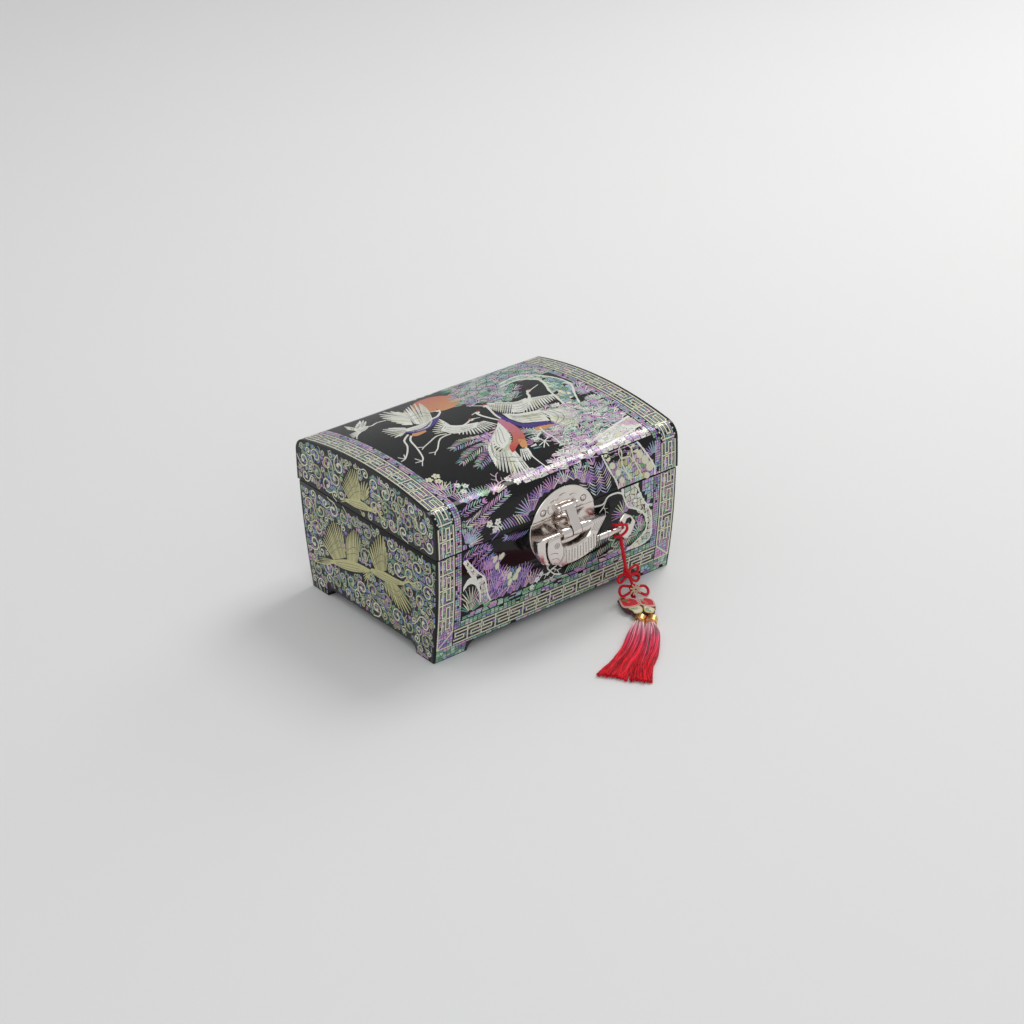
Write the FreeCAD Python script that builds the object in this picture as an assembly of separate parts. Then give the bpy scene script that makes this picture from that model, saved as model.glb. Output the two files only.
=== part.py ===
import FreeCAD, Part
import math
import os

V = FreeCAD.Vector

# A lacquered jewellery box with a bowed body, an arched lid, a round lock plate, a fish padlock and a
# tassel on its key. Millimetres, X along the front, the front face towards -Y, +Z up.

# Case
LENGTH = 240.0              # over the end boards
SEAM_DEPTH = 182.0          # over the front and back boards at the seam
SEAM_HEIGHT = 93.5          # top edge of the body
BOW_RADIUS = 543.0          # curve of the front and back faces, seen from the end
BOW_HEIGHT = 103.0          # height at which those faces stand upright
BOARD = 8.0                 # thickness of the case boards
BOTTOM_BOARD = 5.0
FOOT_HEIGHT = 8.0           # height of the cut-outs between the feet
FRONT_FOOT = 32.0           # length of a foot along the front
END_FOOT = 22.0             # length of a foot along an end
FOOT_CURVE = 9.0            # length of the curve beside a foot
GLUE_LINE = 0.1             # between glued or sewn pieces
EDGE_BEVEL = 0.6            # on the edges that meet at the seam

# Lid
SEAM_GAP = 0.5
LID_OVERHANG = 0.8          # how far the lid stands out past the body
APRON = 36.5                # upright part of the lid
RAIL_HEIGHT = 24.0          # front and back rails, under the bent top panel
ARCH_RISE = 10.8
TOP_PANEL = 6.0
CREASE_RADIUS = 13.0        # between the apron and the top
CREASE_SHARE = 1.2          # most of it, as a share of the panel's upright edge

# Linings, mirror and tray
LINING = 1.2
FLOOR_PAD = 2.0
PAD_GAP = 0.3               # a soft piece to its neighbours
LID_HOLLOW = 18.0           # depth of the lid's lining
MIRROR_LENGTH = 160.0
MIRROR_WIDTH = 104.0
MIRROR_GLASS = 2.0
MIRROR_FRAME = 6.0          # width of the frame outside the glass
MIRROR_LIP = 4.0            # how far the frame covers the glass
MIRROR_LIP_THICKNESS = 0.8
MIRROR_GAP = 0.15
LEDGE_WIDTH = 6.0
LEDGE_HEIGHT = 47.0
TRAY_HEIGHT = 28.0
TRAY_GAP = 0.8              # around the tray
TRAY_WALL = 3.0
TRAY_FLOOR = 2.5
DIVIDER = 2.0
RING_SPACE = 126.0          # length of the ring roll compartment
RING_ROLLS = 6
ROLL_GAP = 0.8
TRAY_PAD = 1.0
TAB_WIDTH = 12.0
TAB_THICKNESS = 0.8
TAB_STANDS = 3.0            # above the tray's rim

# Hinges
HINGE_SPACING = 140.0
LEAF_LENGTH = 30.0
LEAF_HEIGHT = 17.0
LEAF = 1.2
BARREL_RADIUS = 2.6
PIN_RADIUS = 1.2
RUNNING_FIT = 0.05          # radial, a pin in its barrel
BARREL_GAP = 0.3            # between neighbouring barrels
BARREL_CLEAR = 0.4          # between a barrel and the case
PIN_HEAD_RADIUS = 1.9
PIN_HEAD = 0.8
SCREW_RADIUS = 0.9
SCREW_HEAD_RADIUS = 2.0
SCREW_HEAD = 0.7
SCREW_LENGTH = 5.5
SCREW_GAP = 0.05
SCREW_STAGGER = 2.5         # rows of screws above and below the middle of a leaf
BEDDING = 0.05              # between a metal plate and the curved board under it

# Lock plates
LOCK_X = 0.8
PLATE_RADIUS = 32.5
PLATE = 1.5
PLATE_EDGE = 0.4            # bevel round the plate
NAIL_HEAD_RADIUS = 2.3
NAIL_HEAD = 1.1
NAIL_RADIUS = 0.9
NAIL_LENGTH = 6.5
UPPER_NAIL_X = 20.0
UPPER_NAIL_Z = 16.5         # above the bolt's axis
LOWER_NAIL_X = 13.0
LOWER_NAIL_Z = -25.5
BOSS = 1.1
BOSS_LOBE_RADIUS = 6.5
BOSS_SPREAD = 9.0           # side lobes from the middle

# Staples, bolt and hasp
BOLT_DROP = 9.5             # bolt axis under the seam
BOLT_STANDOFF = 14.0        # from the body's front at the seam to the bolt's axis
BOLT_RADIUS = 2.5
BOLT_FIT = 0.08
HASP_BORE = 3.2             # radius of the hasp's eye, which the bolt enters loosely
STAPLE_RADIUS = 4.7
STAPLE_NECK = 6.0
LEFT_STAPLE = (-13.0, -4.2)     # along X from the lock's middle
HASP_EYE = (-3.2, 5.1)
RIGHT_STAPLE = (5.5, 13.1)
HASP_RISE = 17.5            # hasp pivot above the bolt's axis
HASP_SETBACK = 7.0          # and behind it
HASP_THICKNESS = 2.6
HASP_HEAD_HALF = 7.5
HASP_HEAD_RADIUS = 2.6
HASP_PIN_RADIUS = 1.0
LUG = 2.4
LUG_GAP = 0.3

# Fish padlock
FISH_THICKNESS = 9.0
FISH_EDGE = 1.2             # bevel round the fish
KEY_DROP = 15.8             # key's axis under the bolt's axis
CHEEK = 1.8                 # walls on each side of the head's pocket
SHACKLE_TRAVEL = 12.3
SHACKLE_ROOT_X = -31.0      # where the bolt and the arm start inside the end plate
END_PLATE_RIGHT = -29.0     # right corner of the end plate
END_PLATE_HEEL = 0.9        # rise of its lower edge towards the left
SHACKLE_CLEAR = 0.3
END_PLATE_GAP = 0.2
ARM = 1.4                   # square section of the spring arm
ARM_TIP_X = -1.8
SPRING = 0.3
SPRING_WIDTH = 1.2
SPRING_LENGTH = 9.0
CHANNEL_RADIUS = 3.3
TAIL_FACE_X = 20.4          # face of the tail round the key's socket
SOCKET_LENGTH = 12.0
STUB_COLLAR_RADIUS = 3.7
STUB_LENGTH = 2.8
STUB_ROOT_X = 17.5          # where the stub and its collar end inside the tail

# Key
KEY_TUBE_RADIUS = 2.5
KEY_TUBE_BORE = 1.9
KEY_TUBE_TIP_X = -11.8
KEY_BORE_END = 3.0          # solid metal left behind the shoulder
KEY_STEM_RADIUS = 2.75
KEY_TIP_RADIUS = 1.4
KEY_COLLAR_X = 35.2
KEY_TIP_X = 54.2
COLLAR_RADIUS = 3.2
COLLAR_WIDTH = 1.6
BOW_PLATE = 2.5
BOW_EDGE = 0.6
BOW_HOLE_RADIUS = 3.6

# Cord, knots, charm and tassels. They hang from the key and lie on the table at z = 0
CORD = 2.8
LOOP_CORD = 2.2
THREAD = 1.8                # short cords between the beads
KNOT_RADIUS = 2.8
LOWER_KNOT_RADIUS = 4.0
FLOWER_RADIUS = 5.6
FLOWER_WAIST = 2.0          # radius between two petals
FLOWER_SPOKES = 9
FLOWER_THICKNESS = 0.8
CHARM_KNOT_RADIUS = 2.2
THREAD_BEAD_RADIUS = 2.0
CHARM_BASE = 4.6
CHARM_TOP = 1.2
CHARM_DRAWN_IN = 0.6        # of a pad's rim, above and below its middle
CAP_RADIUS = 4.5
CAP_LENGTH = 8.0
CAP_SPACING = 9.4
CAP_ROUND = 1.2
CAP_WALL = 0.7              # the thread is that much slimmer than its cap

# Edges of the two bundles of thread on the table, from the caps to their ends, and their heights
FAN_LEFT = ((19.8, -41.5), (8.3, -49.8), (-4.8, -58.1), (-19.2, -65.0), (-38.5, -71.3))
FAN_MIDDLE = ((28.9, -50.2), (18.4, -60.2), (5.4, -70.1), (-8.0, -78.0), (-26.8, -90.0))
FAN_RIGHT = ((38.0, -58.8), (28.4, -70.5), (15.5, -82.1), (1.6, -91.0), (-14.2, -107.3))
FAN_HEIGHTS = (7.0, 6.4, 5.8, 5.2, 4.2)
FAN_SHOULDER = 0.55         # share of that height where the rounding starts

# Worked out from the sizes above
BOW_CENTRE = math.sqrt(BOW_RADIUS ** 2 - (SEAM_HEIGHT - BOW_HEIGHT) ** 2) - SEAM_DEPTH / 2
LID_BOTTOM = SEAM_HEIGHT + SEAM_GAP
CREASE_HEIGHT = SEAM_HEIGHT + APRON
RAIL_TOP = LID_BOTTOM + RAIL_HEIGHT
CROWN_HEIGHT = CREASE_HEIGHT + ARCH_RISE
FLOOR_TOP = FOOT_HEIGHT + BOTTOM_BOARD
CEILING = LID_BOTTOM + LID_HOLLOW
LEDGE_TOP = FLOOR_TOP + LEDGE_HEIGHT
INNER_HALF = LENGTH / 2 - BOARD
LID_HALF = LENGTH / 2 + LID_OVERHANG
LID_INNER_HALF = LID_HALF - BOARD
BOLT_Y = -(SEAM_DEPTH / 2 + BOLT_STANDOFF)
BOLT_HEIGHT = SEAM_HEIGHT - BOLT_DROP
KEY_HEIGHT = BOLT_HEIGHT - KEY_DROP
FISH_FRONT = BOLT_Y - FISH_THICKNESS / 2
FISH_BACK = BOLT_Y + FISH_THICKNESS / 2
HINGE_HEIGHT = SEAM_HEIGHT + SEAM_GAP / 2
UPPER_KNOT_TOP = V(LOCK_X + 53.2, BOLT_Y, 31.0)
LOWER_KNOT = V(LOCK_X + 60.9, BOLT_Y - 1.0, 9.8)


def face_y(height, inset=0.0):
    """Distance from the middle to the bowed face, or to a surface that lies inset behind it."""
    return math.sqrt((BOW_RADIUS - inset) ** 2 - (height - BOW_HEIGHT) ** 2) - BOW_CENTRE


HINGE_Y = face_y(SEAM_HEIGHT, -LID_OVERHANG) + BARREL_CLEAR + BARREL_RADIUS
CREASE_Y = face_y(CREASE_HEIGHT, -LID_OVERHANG)
ARCH_RADIUS = (CREASE_Y ** 2 + ARCH_RISE ** 2) / (2 * ARCH_RISE)
TRAY_HALF_LENGTH = INNER_HALF - LINING - TRAY_GAP
TRAY_HALF_DEPTH = face_y(LEDGE_TOP, BOARD + LINING) - TRAY_GAP
PLATE_FRONT = face_y(SEAM_HEIGHT, -LID_OVERHANG - BEDDING - PLATE)


def face_normal(side, height):
    """Direction straight out of the bowed front (side -1) or back (side 1) at a height."""
    lean = (height - BOW_HEIGHT) / BOW_RADIUS
    return V(0, side * math.sqrt(1 - lean ** 2), lean)


def arch_z(y, inset=0.0):
    """Height of the arched top, or of a surface that lies inset under it."""
    return CROWN_HEIGHT - ARCH_RADIUS + math.sqrt((ARCH_RADIUS - inset) ** 2 - y ** 2)


def closed_face(start, *moves):
    """Face inside lines (a point each) and arcs (a pair each: a point on the way and the end)."""
    here = start
    edges = []
    for move in moves + (start,):
        if isinstance(move, tuple):
            edges.append(Part.Arc(here, move[0], move[1]).toShape())
            here = move[1]
        elif here.distanceToPoint(move) > 1e-6:
            edges.append(Part.LineSegment(here, move).toShape())
            here = move
    return Part.Face(Part.Wire(edges))


def bow_arc(side, inset, low, high):
    """Middle and end of the arc up (or down) a bowed face, in the plane x = 0."""
    middle = (low + high) / 2
    return (V(0, side * face_y(middle, inset), middle), V(0, side * face_y(high, inset), high))


def along_x(face, x_low, x_high):
    """Solid from a face in the plane x = 0, stretched between two places on X."""
    solid = face.extrude(V(x_high - x_low, 0, 0))
    solid.translate(V(x_low, 0, 0))
    return solid


def along_y(face, y_low, y_high):
    """Solid from a face in the plane y = 0, stretched between two places on Y."""
    solid = face.extrude(V(0, y_high - y_low, 0))
    solid.translate(V(0, y_low, 0))
    return solid


def block(x, y, z):
    """Box between two places on each axis."""
    return Part.makeBox(x[1] - x[0], y[1] - y[0], z[1] - z[0], V(x[0], y[0], z[0]))


def rod_x(radius, x_low, x_high, y, z):
    """Round bar along X."""
    return Part.makeCylinder(radius, x_high - x_low, V(x_low, y, z), V(1, 0, 0))


def bowed_block(half_length, inset, low, high):
    """Block with the case's bowed front and back, inset behind the faces of the body."""
    start = V(0, -face_y(low, inset), low)
    face = closed_face(start, bow_arc(-1, inset, low, high), V(0, face_y(high, inset), high),
                       bow_arc(1, inset, high, low))
    return along_x(face, -half_length, half_length)


def bowed_strip(side, outer, inner, low, high):
    """Section of a bowed wall on one side, between two insets."""
    start = V(0, side * face_y(low, outer), low)
    return closed_face(start, bow_arc(side, outer, low, high), V(0, side * face_y(high, inner), high),
                       bow_arc(side, inner, high, low))


def edges_where(shape, test):
    """Edges of a shape whose every vertex passes a test."""
    return [e for e in shape.Edges if e.Vertexes and all(test(v.Point) for v in e.Vertexes)]


def near(a, b):
    """Whether two lengths are the same."""
    return abs(a - b) < 1e-4


def peg(at, direction, head_radius, head, shank_radius, length):
    """Domed head with a round shank behind it, facing a direction."""
    dome = (head_radius ** 2 + head ** 2) / (2 * head)
    half_way = math.asin(head_radius / dome) / 2
    bend = V(dome * math.sin(half_way), 0, head - dome + dome * math.cos(half_way))
    profile = closed_face(V(0, 0, -length), V(shank_radius, 0, -length), V(shank_radius, 0, 0),
                          V(head_radius, 0, 0), (bend, V(0, 0, head)))
    solid = profile.revolve(V(0, 0, 0), V(0, 0, 1), 360)
    solid.Placement = FreeCAD.Placement(at, FreeCAD.Rotation(V(0, 0, 1), direction))
    return solid


def peg_hole(at, direction, shank_radius, length):
    """Room for a peg's shank, through the plate and into the board."""
    start = at + direction * 2
    return Part.makeCylinder(shank_radius + SCREW_GAP, length + 2 + PAD_GAP, start, direction * -1)


def foot_cut(half_length, foot):
    """Face of the cut-out between two feet, in the plane y = 0, with a rounded shoulder at each end."""
    reach = half_length - foot
    shoulder = reach - FOOT_CURVE
    bend_x = shoulder + FOOT_CURVE * math.sqrt(0.5)
    bend_z = FOOT_HEIGHT * math.sqrt(0.5)
    below = -1.0
    left = (V(-bend_x, 0, bend_z), V(-shoulder, 0, FOOT_HEIGHT))
    right = (V(bend_x, 0, bend_z), V(reach, 0, 0))
    return closed_face(V(-reach, 0, below), V(-reach, 0, 0), left, V(shoulder, 0, FOOT_HEIGHT), right,
                       V(reach, 0, below))


def case_boards(pieces):
    """Four bowed or flat boards on bracket feet, and the bottom let in between them."""
    half = LENGTH / 2
    front_cut = along_y(foot_cut(half, FRONT_FOOT), -SEAM_DEPTH, SEAM_DEPTH)
    end_face = foot_cut(face_y(0), END_FOOT)
    end_face.rotate(V(0, 0, 0), V(0, 0, 1), 90)
    end_cut = along_x(end_face, -LENGTH, LENGTH)
    for name, side in (("front_board", -1), ("back_board", 1)):
        board = along_x(bowed_strip(side, 0, BOARD, 0, SEAM_HEIGHT), -INNER_HALF, INNER_HALF)
        top = edges_where(board, lambda p: near(p.z, SEAM_HEIGHT) and near(abs(p.y), face_y(SEAM_HEIGHT)))
        pieces[name] = board.makeChamfer(EDGE_BEVEL, top).cut(front_cut)
    whole = bowed_block(half, 0, 0, SEAM_HEIGHT)
    for name, side in (("left_end_board", -1), ("right_end_board", 1)):
        x = sorted((side * half, side * INNER_HALF))
        board = whole.common(block(x, (-SEAM_DEPTH, SEAM_DEPTH), (0, SEAM_HEIGHT)))
        top = edges_where(board, lambda p: near(p.z, SEAM_HEIGHT))
        outer = [e for e in top if not all(near(v.X, side * INNER_HALF) for v in e.Vertexes)]
        pieces[name] = board.makeChamfer(EDGE_BEVEL, outer).cut(end_cut)
    pieces["bottom_board"] = bowed_block(INNER_HALF - GLUE_LINE, BOARD + GLUE_LINE, FOOT_HEIGHT, FLOOR_TOP)


def case_lining(pieces):
    """Cloth-covered card round the walls, a pad on the bottom, and two ledges that carry the tray."""
    top = SEAM_HEIGHT - EDGE_BEVEL
    outside = bowed_block(INNER_HALF - GLUE_LINE, BOARD + GLUE_LINE, FLOOR_TOP, top)
    inset = BOARD + LINING
    inside = bowed_block(INNER_HALF - LINING, inset, FLOOR_TOP - 1, top + 1)
    pieces["body_lining"] = outside.cut(inside)
    wall = INNER_HALF - LINING
    ledge_y = face_y(FLOOR_TOP, inset) - PAD_GAP
    ledges = []
    for side in (-1, 1):
        x = sorted((side * wall, side * (wall - LEDGE_WIDTH)))
        ledges.append(block(x, (-ledge_y, ledge_y), (FLOOR_TOP, LEDGE_TOP)))
    pieces["tray_ledges"] = Part.makeCompound(ledges)
    pieces["floor_pad"] = bowed_block(wall - LEDGE_WIDTH - PAD_GAP, inset + PAD_GAP, FLOOR_TOP,
                                      FLOOR_TOP + FLOOR_PAD)


def over_lid(low):
    """Outside of the lid as arcs, from a height on the front, over the top, to the same height behind."""
    out = -LID_OVERHANG
    rounding = min(CREASE_RADIUS, CREASE_SHARE * (CREASE_HEIGHT - RAIL_TOP))
    apron_centre = V(0, -BOW_CENTRE, BOW_HEIGHT)
    arch_centre = V(0, 0, CROWN_HEIGHT - ARCH_RADIUS)
    to_apron = BOW_RADIUS - out - rounding
    to_arch = ARCH_RADIUS - rounding
    apart = arch_centre - apron_centre
    along = (to_apron ** 2 - to_arch ** 2 + apart.Length ** 2) / (2 * apart.Length)
    across = math.sqrt(to_apron ** 2 - along ** 2)
    ahead = V(apart).normalize()
    centre = apron_centre + ahead * along + V(0, -ahead.z, ahead.y) * across
    outward = (centre - apron_centre).normalize()
    upward = (centre - arch_centre).normalize()
    on_apron = centre + outward * rounding
    on_arch = centre + upward * rounding
    middle = centre + (outward + upward).normalize() * rounding

    def front(p):
        return V(0, -p.y, p.z)

    return (bow_arc(-1, out, low, on_apron.z), (front(middle), front(on_arch)),
            (V(0, 0, CROWN_HEIGHT), on_arch), (middle, on_apron), bow_arc(1, out, on_apron.z, low))


def lid_outline():
    """Whole lid seen from the end, as a face in the plane x = 0."""
    start = V(0, -face_y(LID_BOTTOM, -LID_OVERHANG), LID_BOTTOM)
    return closed_face(start, *over_lid(LID_BOTTOM))


def lid_boards(pieces):
    """Two end boards, a rail along the front and the back, and the bent panel over them."""
    out = -LID_OVERHANG
    inner = BOARD - LID_OVERHANG

    whole = along_x(lid_outline(), -LID_HALF, LID_HALF)
    for name, side in (("lid_left_end", -1), ("lid_right_end", 1)):
        x = sorted((side * LID_HALF, side * LID_INNER_HALF))
        board = whole.common(block(x, (-SEAM_DEPTH, SEAM_DEPTH), (LID_BOTTOM, 2 * CROWN_HEIGHT)))
        rim = edges_where(board, lambda p: near(p.z, LID_BOTTOM))
        outer = [e for e in rim if not all(near(v.X, side * LID_INNER_HALF) for v in e.Vertexes)]
        pieces[name] = board.makeChamfer(EDGE_BEVEL, outer)
    for name, side in (("lid_front_rail", -1), ("lid_back_rail", 1)):
        rail = along_x(bowed_strip(side, out, inner, LID_BOTTOM, RAIL_TOP), -LID_INNER_HALF, LID_INNER_HALF)
        rim = edges_where(rail, lambda p: near(p.z, LID_BOTTOM) and near(abs(p.y), face_y(LID_BOTTOM, out)))
        pieces[name] = rail.makeChamfer(EDGE_BEVEL, rim)
    under_y = face_y(RAIL_TOP, inner)
    section = closed_face(V(0, -face_y(RAIL_TOP, out), RAIL_TOP), *over_lid(RAIL_TOP), V(0, under_y, RAIL_TOP),
                          V(0, under_y, arch_z(under_y, TOP_PANEL)),
                          (V(0, 0, CROWN_HEIGHT - TOP_PANEL), V(0, -under_y, arch_z(under_y, TOP_PANEL))),
                          V(0, -under_y, RAIL_TOP))
    pieces["lid_top_panel"] = along_x(section, -LID_INNER_HALF, LID_INNER_HALF)


def lid_lining(pieces):
    """Cloth-covered card walls and ceiling in the lid, and a mirror held under the ceiling by its frame."""
    inset = BOARD - LID_OVERHANG + GLUE_LINE
    low = LID_BOTTOM + EDGE_BEVEL
    outside = bowed_block(LID_INNER_HALF - GLUE_LINE, inset, low, CEILING + LINING)
    inside = bowed_block(LID_INNER_HALF - LINING, inset + LINING, low - 1, CEILING)
    pieces["lid_lining"] = outside.cut(inside)
    glass_low = CEILING - MIRROR_GLASS
    glass_x = MIRROR_LENGTH / 2
    glass_y = MIRROR_WIDTH / 2
    pieces["mirror_glass"] = block((-glass_x, glass_x), (-glass_y, glass_y), (glass_low, CEILING))
    frame_low = glass_low - MIRROR_LIP_THICKNESS
    frame_x = glass_x + MIRROR_FRAME
    frame_y = glass_y + MIRROR_FRAME
    frame = block((-frame_x, frame_x), (-frame_y, frame_y), (frame_low, CEILING))
    rebate_x = glass_x + MIRROR_GAP
    rebate_y = glass_y + MIRROR_GAP
    frame = frame.cut(block((-rebate_x, rebate_x), (-rebate_y, rebate_y), (glass_low, CEILING + 1)))
    view_x = glass_x - MIRROR_LIP
    view_y = glass_y - MIRROR_LIP
    frame = frame.cut(block((-view_x, view_x), (-view_y, view_y), (frame_low - 1, CEILING + 1)))
    pieces["mirror_frame"] = frame


def tray(pieces):
    """Lift-out tray on the ledges, with ring rolls, three small compartments and an open one."""
    low = LEDGE_TOP
    floor = low + TRAY_FLOOR
    top = low + TRAY_HEIGHT
    x = TRAY_HALF_LENGTH
    y = TRAY_HALF_DEPTH
    inner_x = x - TRAY_WALL
    inner_y = y - TRAY_WALL
    box = block((-x, x), (-y, y), (low, top))
    pieces["tray_box"] = box.cut(block((-inner_x, inner_x), (-inner_y, inner_y), (floor, top + 1)))
    middle = DIVIDER / 2
    divider_top = top - 2 * DIVIDER
    ring_end = -inner_x + RING_SPACE
    third = 2 * inner_x / 3
    strips = [block((-inner_x, inner_x), (-middle, middle), (floor, divider_top)),
              block((ring_end, ring_end + DIVIDER), (-inner_y, -middle), (floor, divider_top))]
    for side in (-1, 1):
        at = side * third / 2
        strips.append(block((at - middle, at + middle), (middle, inner_y), (floor, divider_top)))
    pieces["tray_dividers"] = Part.makeCompound(strips)
    pitch = (inner_y - middle - ROLL_GAP) / RING_ROLLS
    radius = (pitch - ROLL_GAP) / 2
    rolls = []
    for number in range(RING_ROLLS):
        centre = -inner_y + ROLL_GAP / 2 + pitch * (number + 0.5)
        rolls.append(rod_x(radius, -inner_x + PAD_GAP, ring_end - PAD_GAP, centre, floor + radius))
    pieces["ring_rolls"] = Part.makeCompound(rolls)
    near_x = third / 2 - middle
    far_x = third / 2 + middle
    edges = [-inner_x, -far_x, -near_x, near_x, far_x, inner_x]
    pads = [block((edges[n] + PAD_GAP, edges[n + 1] - PAD_GAP), (middle + PAD_GAP, inner_y - PAD_GAP),
                  (floor, floor + TRAY_PAD)) for n in (0, 2, 4)]
    pads.append(block((ring_end + DIVIDER + PAD_GAP, inner_x - PAD_GAP),
                      (-inner_y + PAD_GAP, -middle - PAD_GAP), (floor, floor + TRAY_PAD)))
    pieces["tray_pads"] = Part.makeCompound(pads)
    tabs = []
    for side in (-1, 1):
        span = sorted((side * inner_x, side * (inner_x - TAB_THICKNESS)))
        low_y = middle + PAD_GAP
        tabs.append(block(span, (low_y, low_y + TAB_WIDTH), (divider_top, top + TAB_STANDS)))
    pieces["tray_tabs"] = Part.makeCompound(tabs)


def hinges(pieces):
    """Two butt hinges on the back, each with two barrels below, one above, a headed pin and screws."""
    third = LEAF_LENGTH / 3
    reach = BARREL_RADIUS + BARREL_CLEAR
    body_out = -BEDDING - LEAF
    lid_out = -LID_OVERHANG - BEDDING - LEAF
    bore_radius = PIN_RADIUS + RUNNING_FIT
    leaves = {"hinge_body_leaves": [], "hinge_lid_leaves": []}
    screws = {"hinge_body_screws": [], "hinge_lid_screws": []}
    pins = []
    for middle in (-HINGE_SPACING / 2, HINGE_SPACING / 2):
        start = middle - LEAF_LENGTH / 2
        bore = rod_x(bore_radius, start - 1, start + LEAF_LENGTH + 1, HINGE_Y, HINGE_HEIGHT)
        spans = {"hinge_body_leaves": (0, 2), "hinge_lid_leaves": (1,)}
        for kind, thirds in spans.items():
            below = kind == "hinge_body_leaves"
            outer = body_out if below else lid_out
            low = HINGE_HEIGHT - reach - LEAF_HEIGHT if below else HINGE_HEIGHT + reach
            section = bowed_strip(1, outer, outer + LEAF, low, low + LEAF_HEIGHT)
            leaf = along_x(section, start, start + LEAF_LENGTH)
            for number in thirds:
                x = (start + number * third + BARREL_GAP / 2, start + (number + 1) * third - BARREL_GAP / 2)
                neck_z = (low + LEAF_HEIGHT - 1, HINGE_HEIGHT) if below else (HINGE_HEIGHT, low + 1)
                neck_y = (face_y(SEAM_HEIGHT, outer + LEAF / 2), HINGE_Y)
                barrel = rod_x(BARREL_RADIUS, x[0], x[1], HINGE_Y, HINGE_HEIGHT)
                leaf = leaf.fuse([barrel, block(x, neck_y, neck_z)])
            leaf = leaf.cut(bore)
            for step in (-1, 0, 1):
                row = low + LEAF_HEIGHT / 2 + (-SCREW_STAGGER if step else SCREW_STAGGER)
                out = face_normal(1, row)
                at = V(middle + step * third, face_y(row, outer), row) + out * SCREW_GAP
                screws[kind.replace("leaves", "screws")].append(
                    peg(at, out, SCREW_HEAD_RADIUS, SCREW_HEAD, SCREW_RADIUS, SCREW_LENGTH))
                hole = peg_hole(at, out, SCREW_RADIUS, SCREW_LENGTH)
                leaf = leaf.cut(hole)
                board = "back_board" if below else "lid_back_rail"
                pieces[board] = pieces[board].cut(hole)
            leaves[kind].append(leaf.removeSplitter())
        head_low = start + BARREL_GAP / 2 - PIN_HEAD
        head_high = start + LEAF_LENGTH - BARREL_GAP / 2
        pin = rod_x(PIN_RADIUS, head_low, head_high + PIN_HEAD, HINGE_Y, HINGE_HEIGHT)
        for x in (head_low, head_high):
            pin = pin.fuse(rod_x(PIN_HEAD_RADIUS, x, x + PIN_HEAD, HINGE_Y, HINGE_HEIGHT))
        pins.append(pin.removeSplitter())
    for name, solids in list(leaves.items()) + list(screws.items()) + [("hinge_pins", pins)]:
        pieces[name] = Part.makeCompound(solids)


def lock_x(offset):
    """Place on X, counted from the lock's middle."""
    return LOCK_X + offset


def on_front_rim(edge, inset):
    """Whether an edge of a lock plate runs round its outside, in the face that shows."""
    point = edge.valueAt((edge.FirstParameter + edge.LastParameter) / 2)
    from_middle = math.hypot(point.x - lock_x(0), point.z - BOLT_HEIGHT)
    return near(from_middle, PLATE_RADIUS) and abs(-point.y - face_y(point.z, inset)) < 1e-3


def lock_plates(pieces):
    """Round plate split at the seam, nailed to the body and the lid, and the lobed boss with its lugs."""
    disc = Part.makeCylinder(PLATE_RADIUS, SEAM_DEPTH, V(lock_x(0), 0, BOLT_HEIGHT), V(0, -1, 0))
    wide = PLATE_RADIUS + 1
    for name, out, low, high in (("lower_lock_plate", 0, BOLT_HEIGHT - wide, SEAM_HEIGHT),
                                 ("upper_lock_plate", -LID_OVERHANG, LID_BOTTOM, BOLT_HEIGHT + wide)):
        section = bowed_strip(-1, out - BEDDING - PLATE, out - BEDDING, low, high)
        plate = along_x(section, lock_x(-wide), lock_x(wide)).common(disc)
        rim = [e for e in plate.Edges if on_front_rim(e, out - BEDDING - PLATE)]
        pieces[name] = plate.makeChamfer(PLATE_EDGE, rim)
    nails = {"lower_plate_nails": (LOWER_NAIL_X, LOWER_NAIL_Z, 0, "front_board", "lower_lock_plate"),
             "upper_plate_nails": (UPPER_NAIL_X, UPPER_NAIL_Z, -LID_OVERHANG, "lid_front_rail",
                                   "upper_lock_plate")}
    for name, (spread, rise, out, board, plate) in nails.items():
        height = BOLT_HEIGHT + rise
        square = face_normal(-1, height)
        solids = []
        for side in (-1, 1):
            face = V(lock_x(side * spread), -face_y(height, out - BEDDING - PLATE), height)
            at = face + square * SCREW_GAP
            solids.append(peg(at, square, NAIL_HEAD_RADIUS, NAIL_HEAD, NAIL_RADIUS, NAIL_LENGTH))
            hole = peg_hole(at, square, NAIL_RADIUS, NAIL_LENGTH)
            pieces[board] = pieces[board].cut(hole)
            pieces[plate] = pieces[plate].cut(hole)
        pieces[name] = Part.makeCompound(solids)


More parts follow.
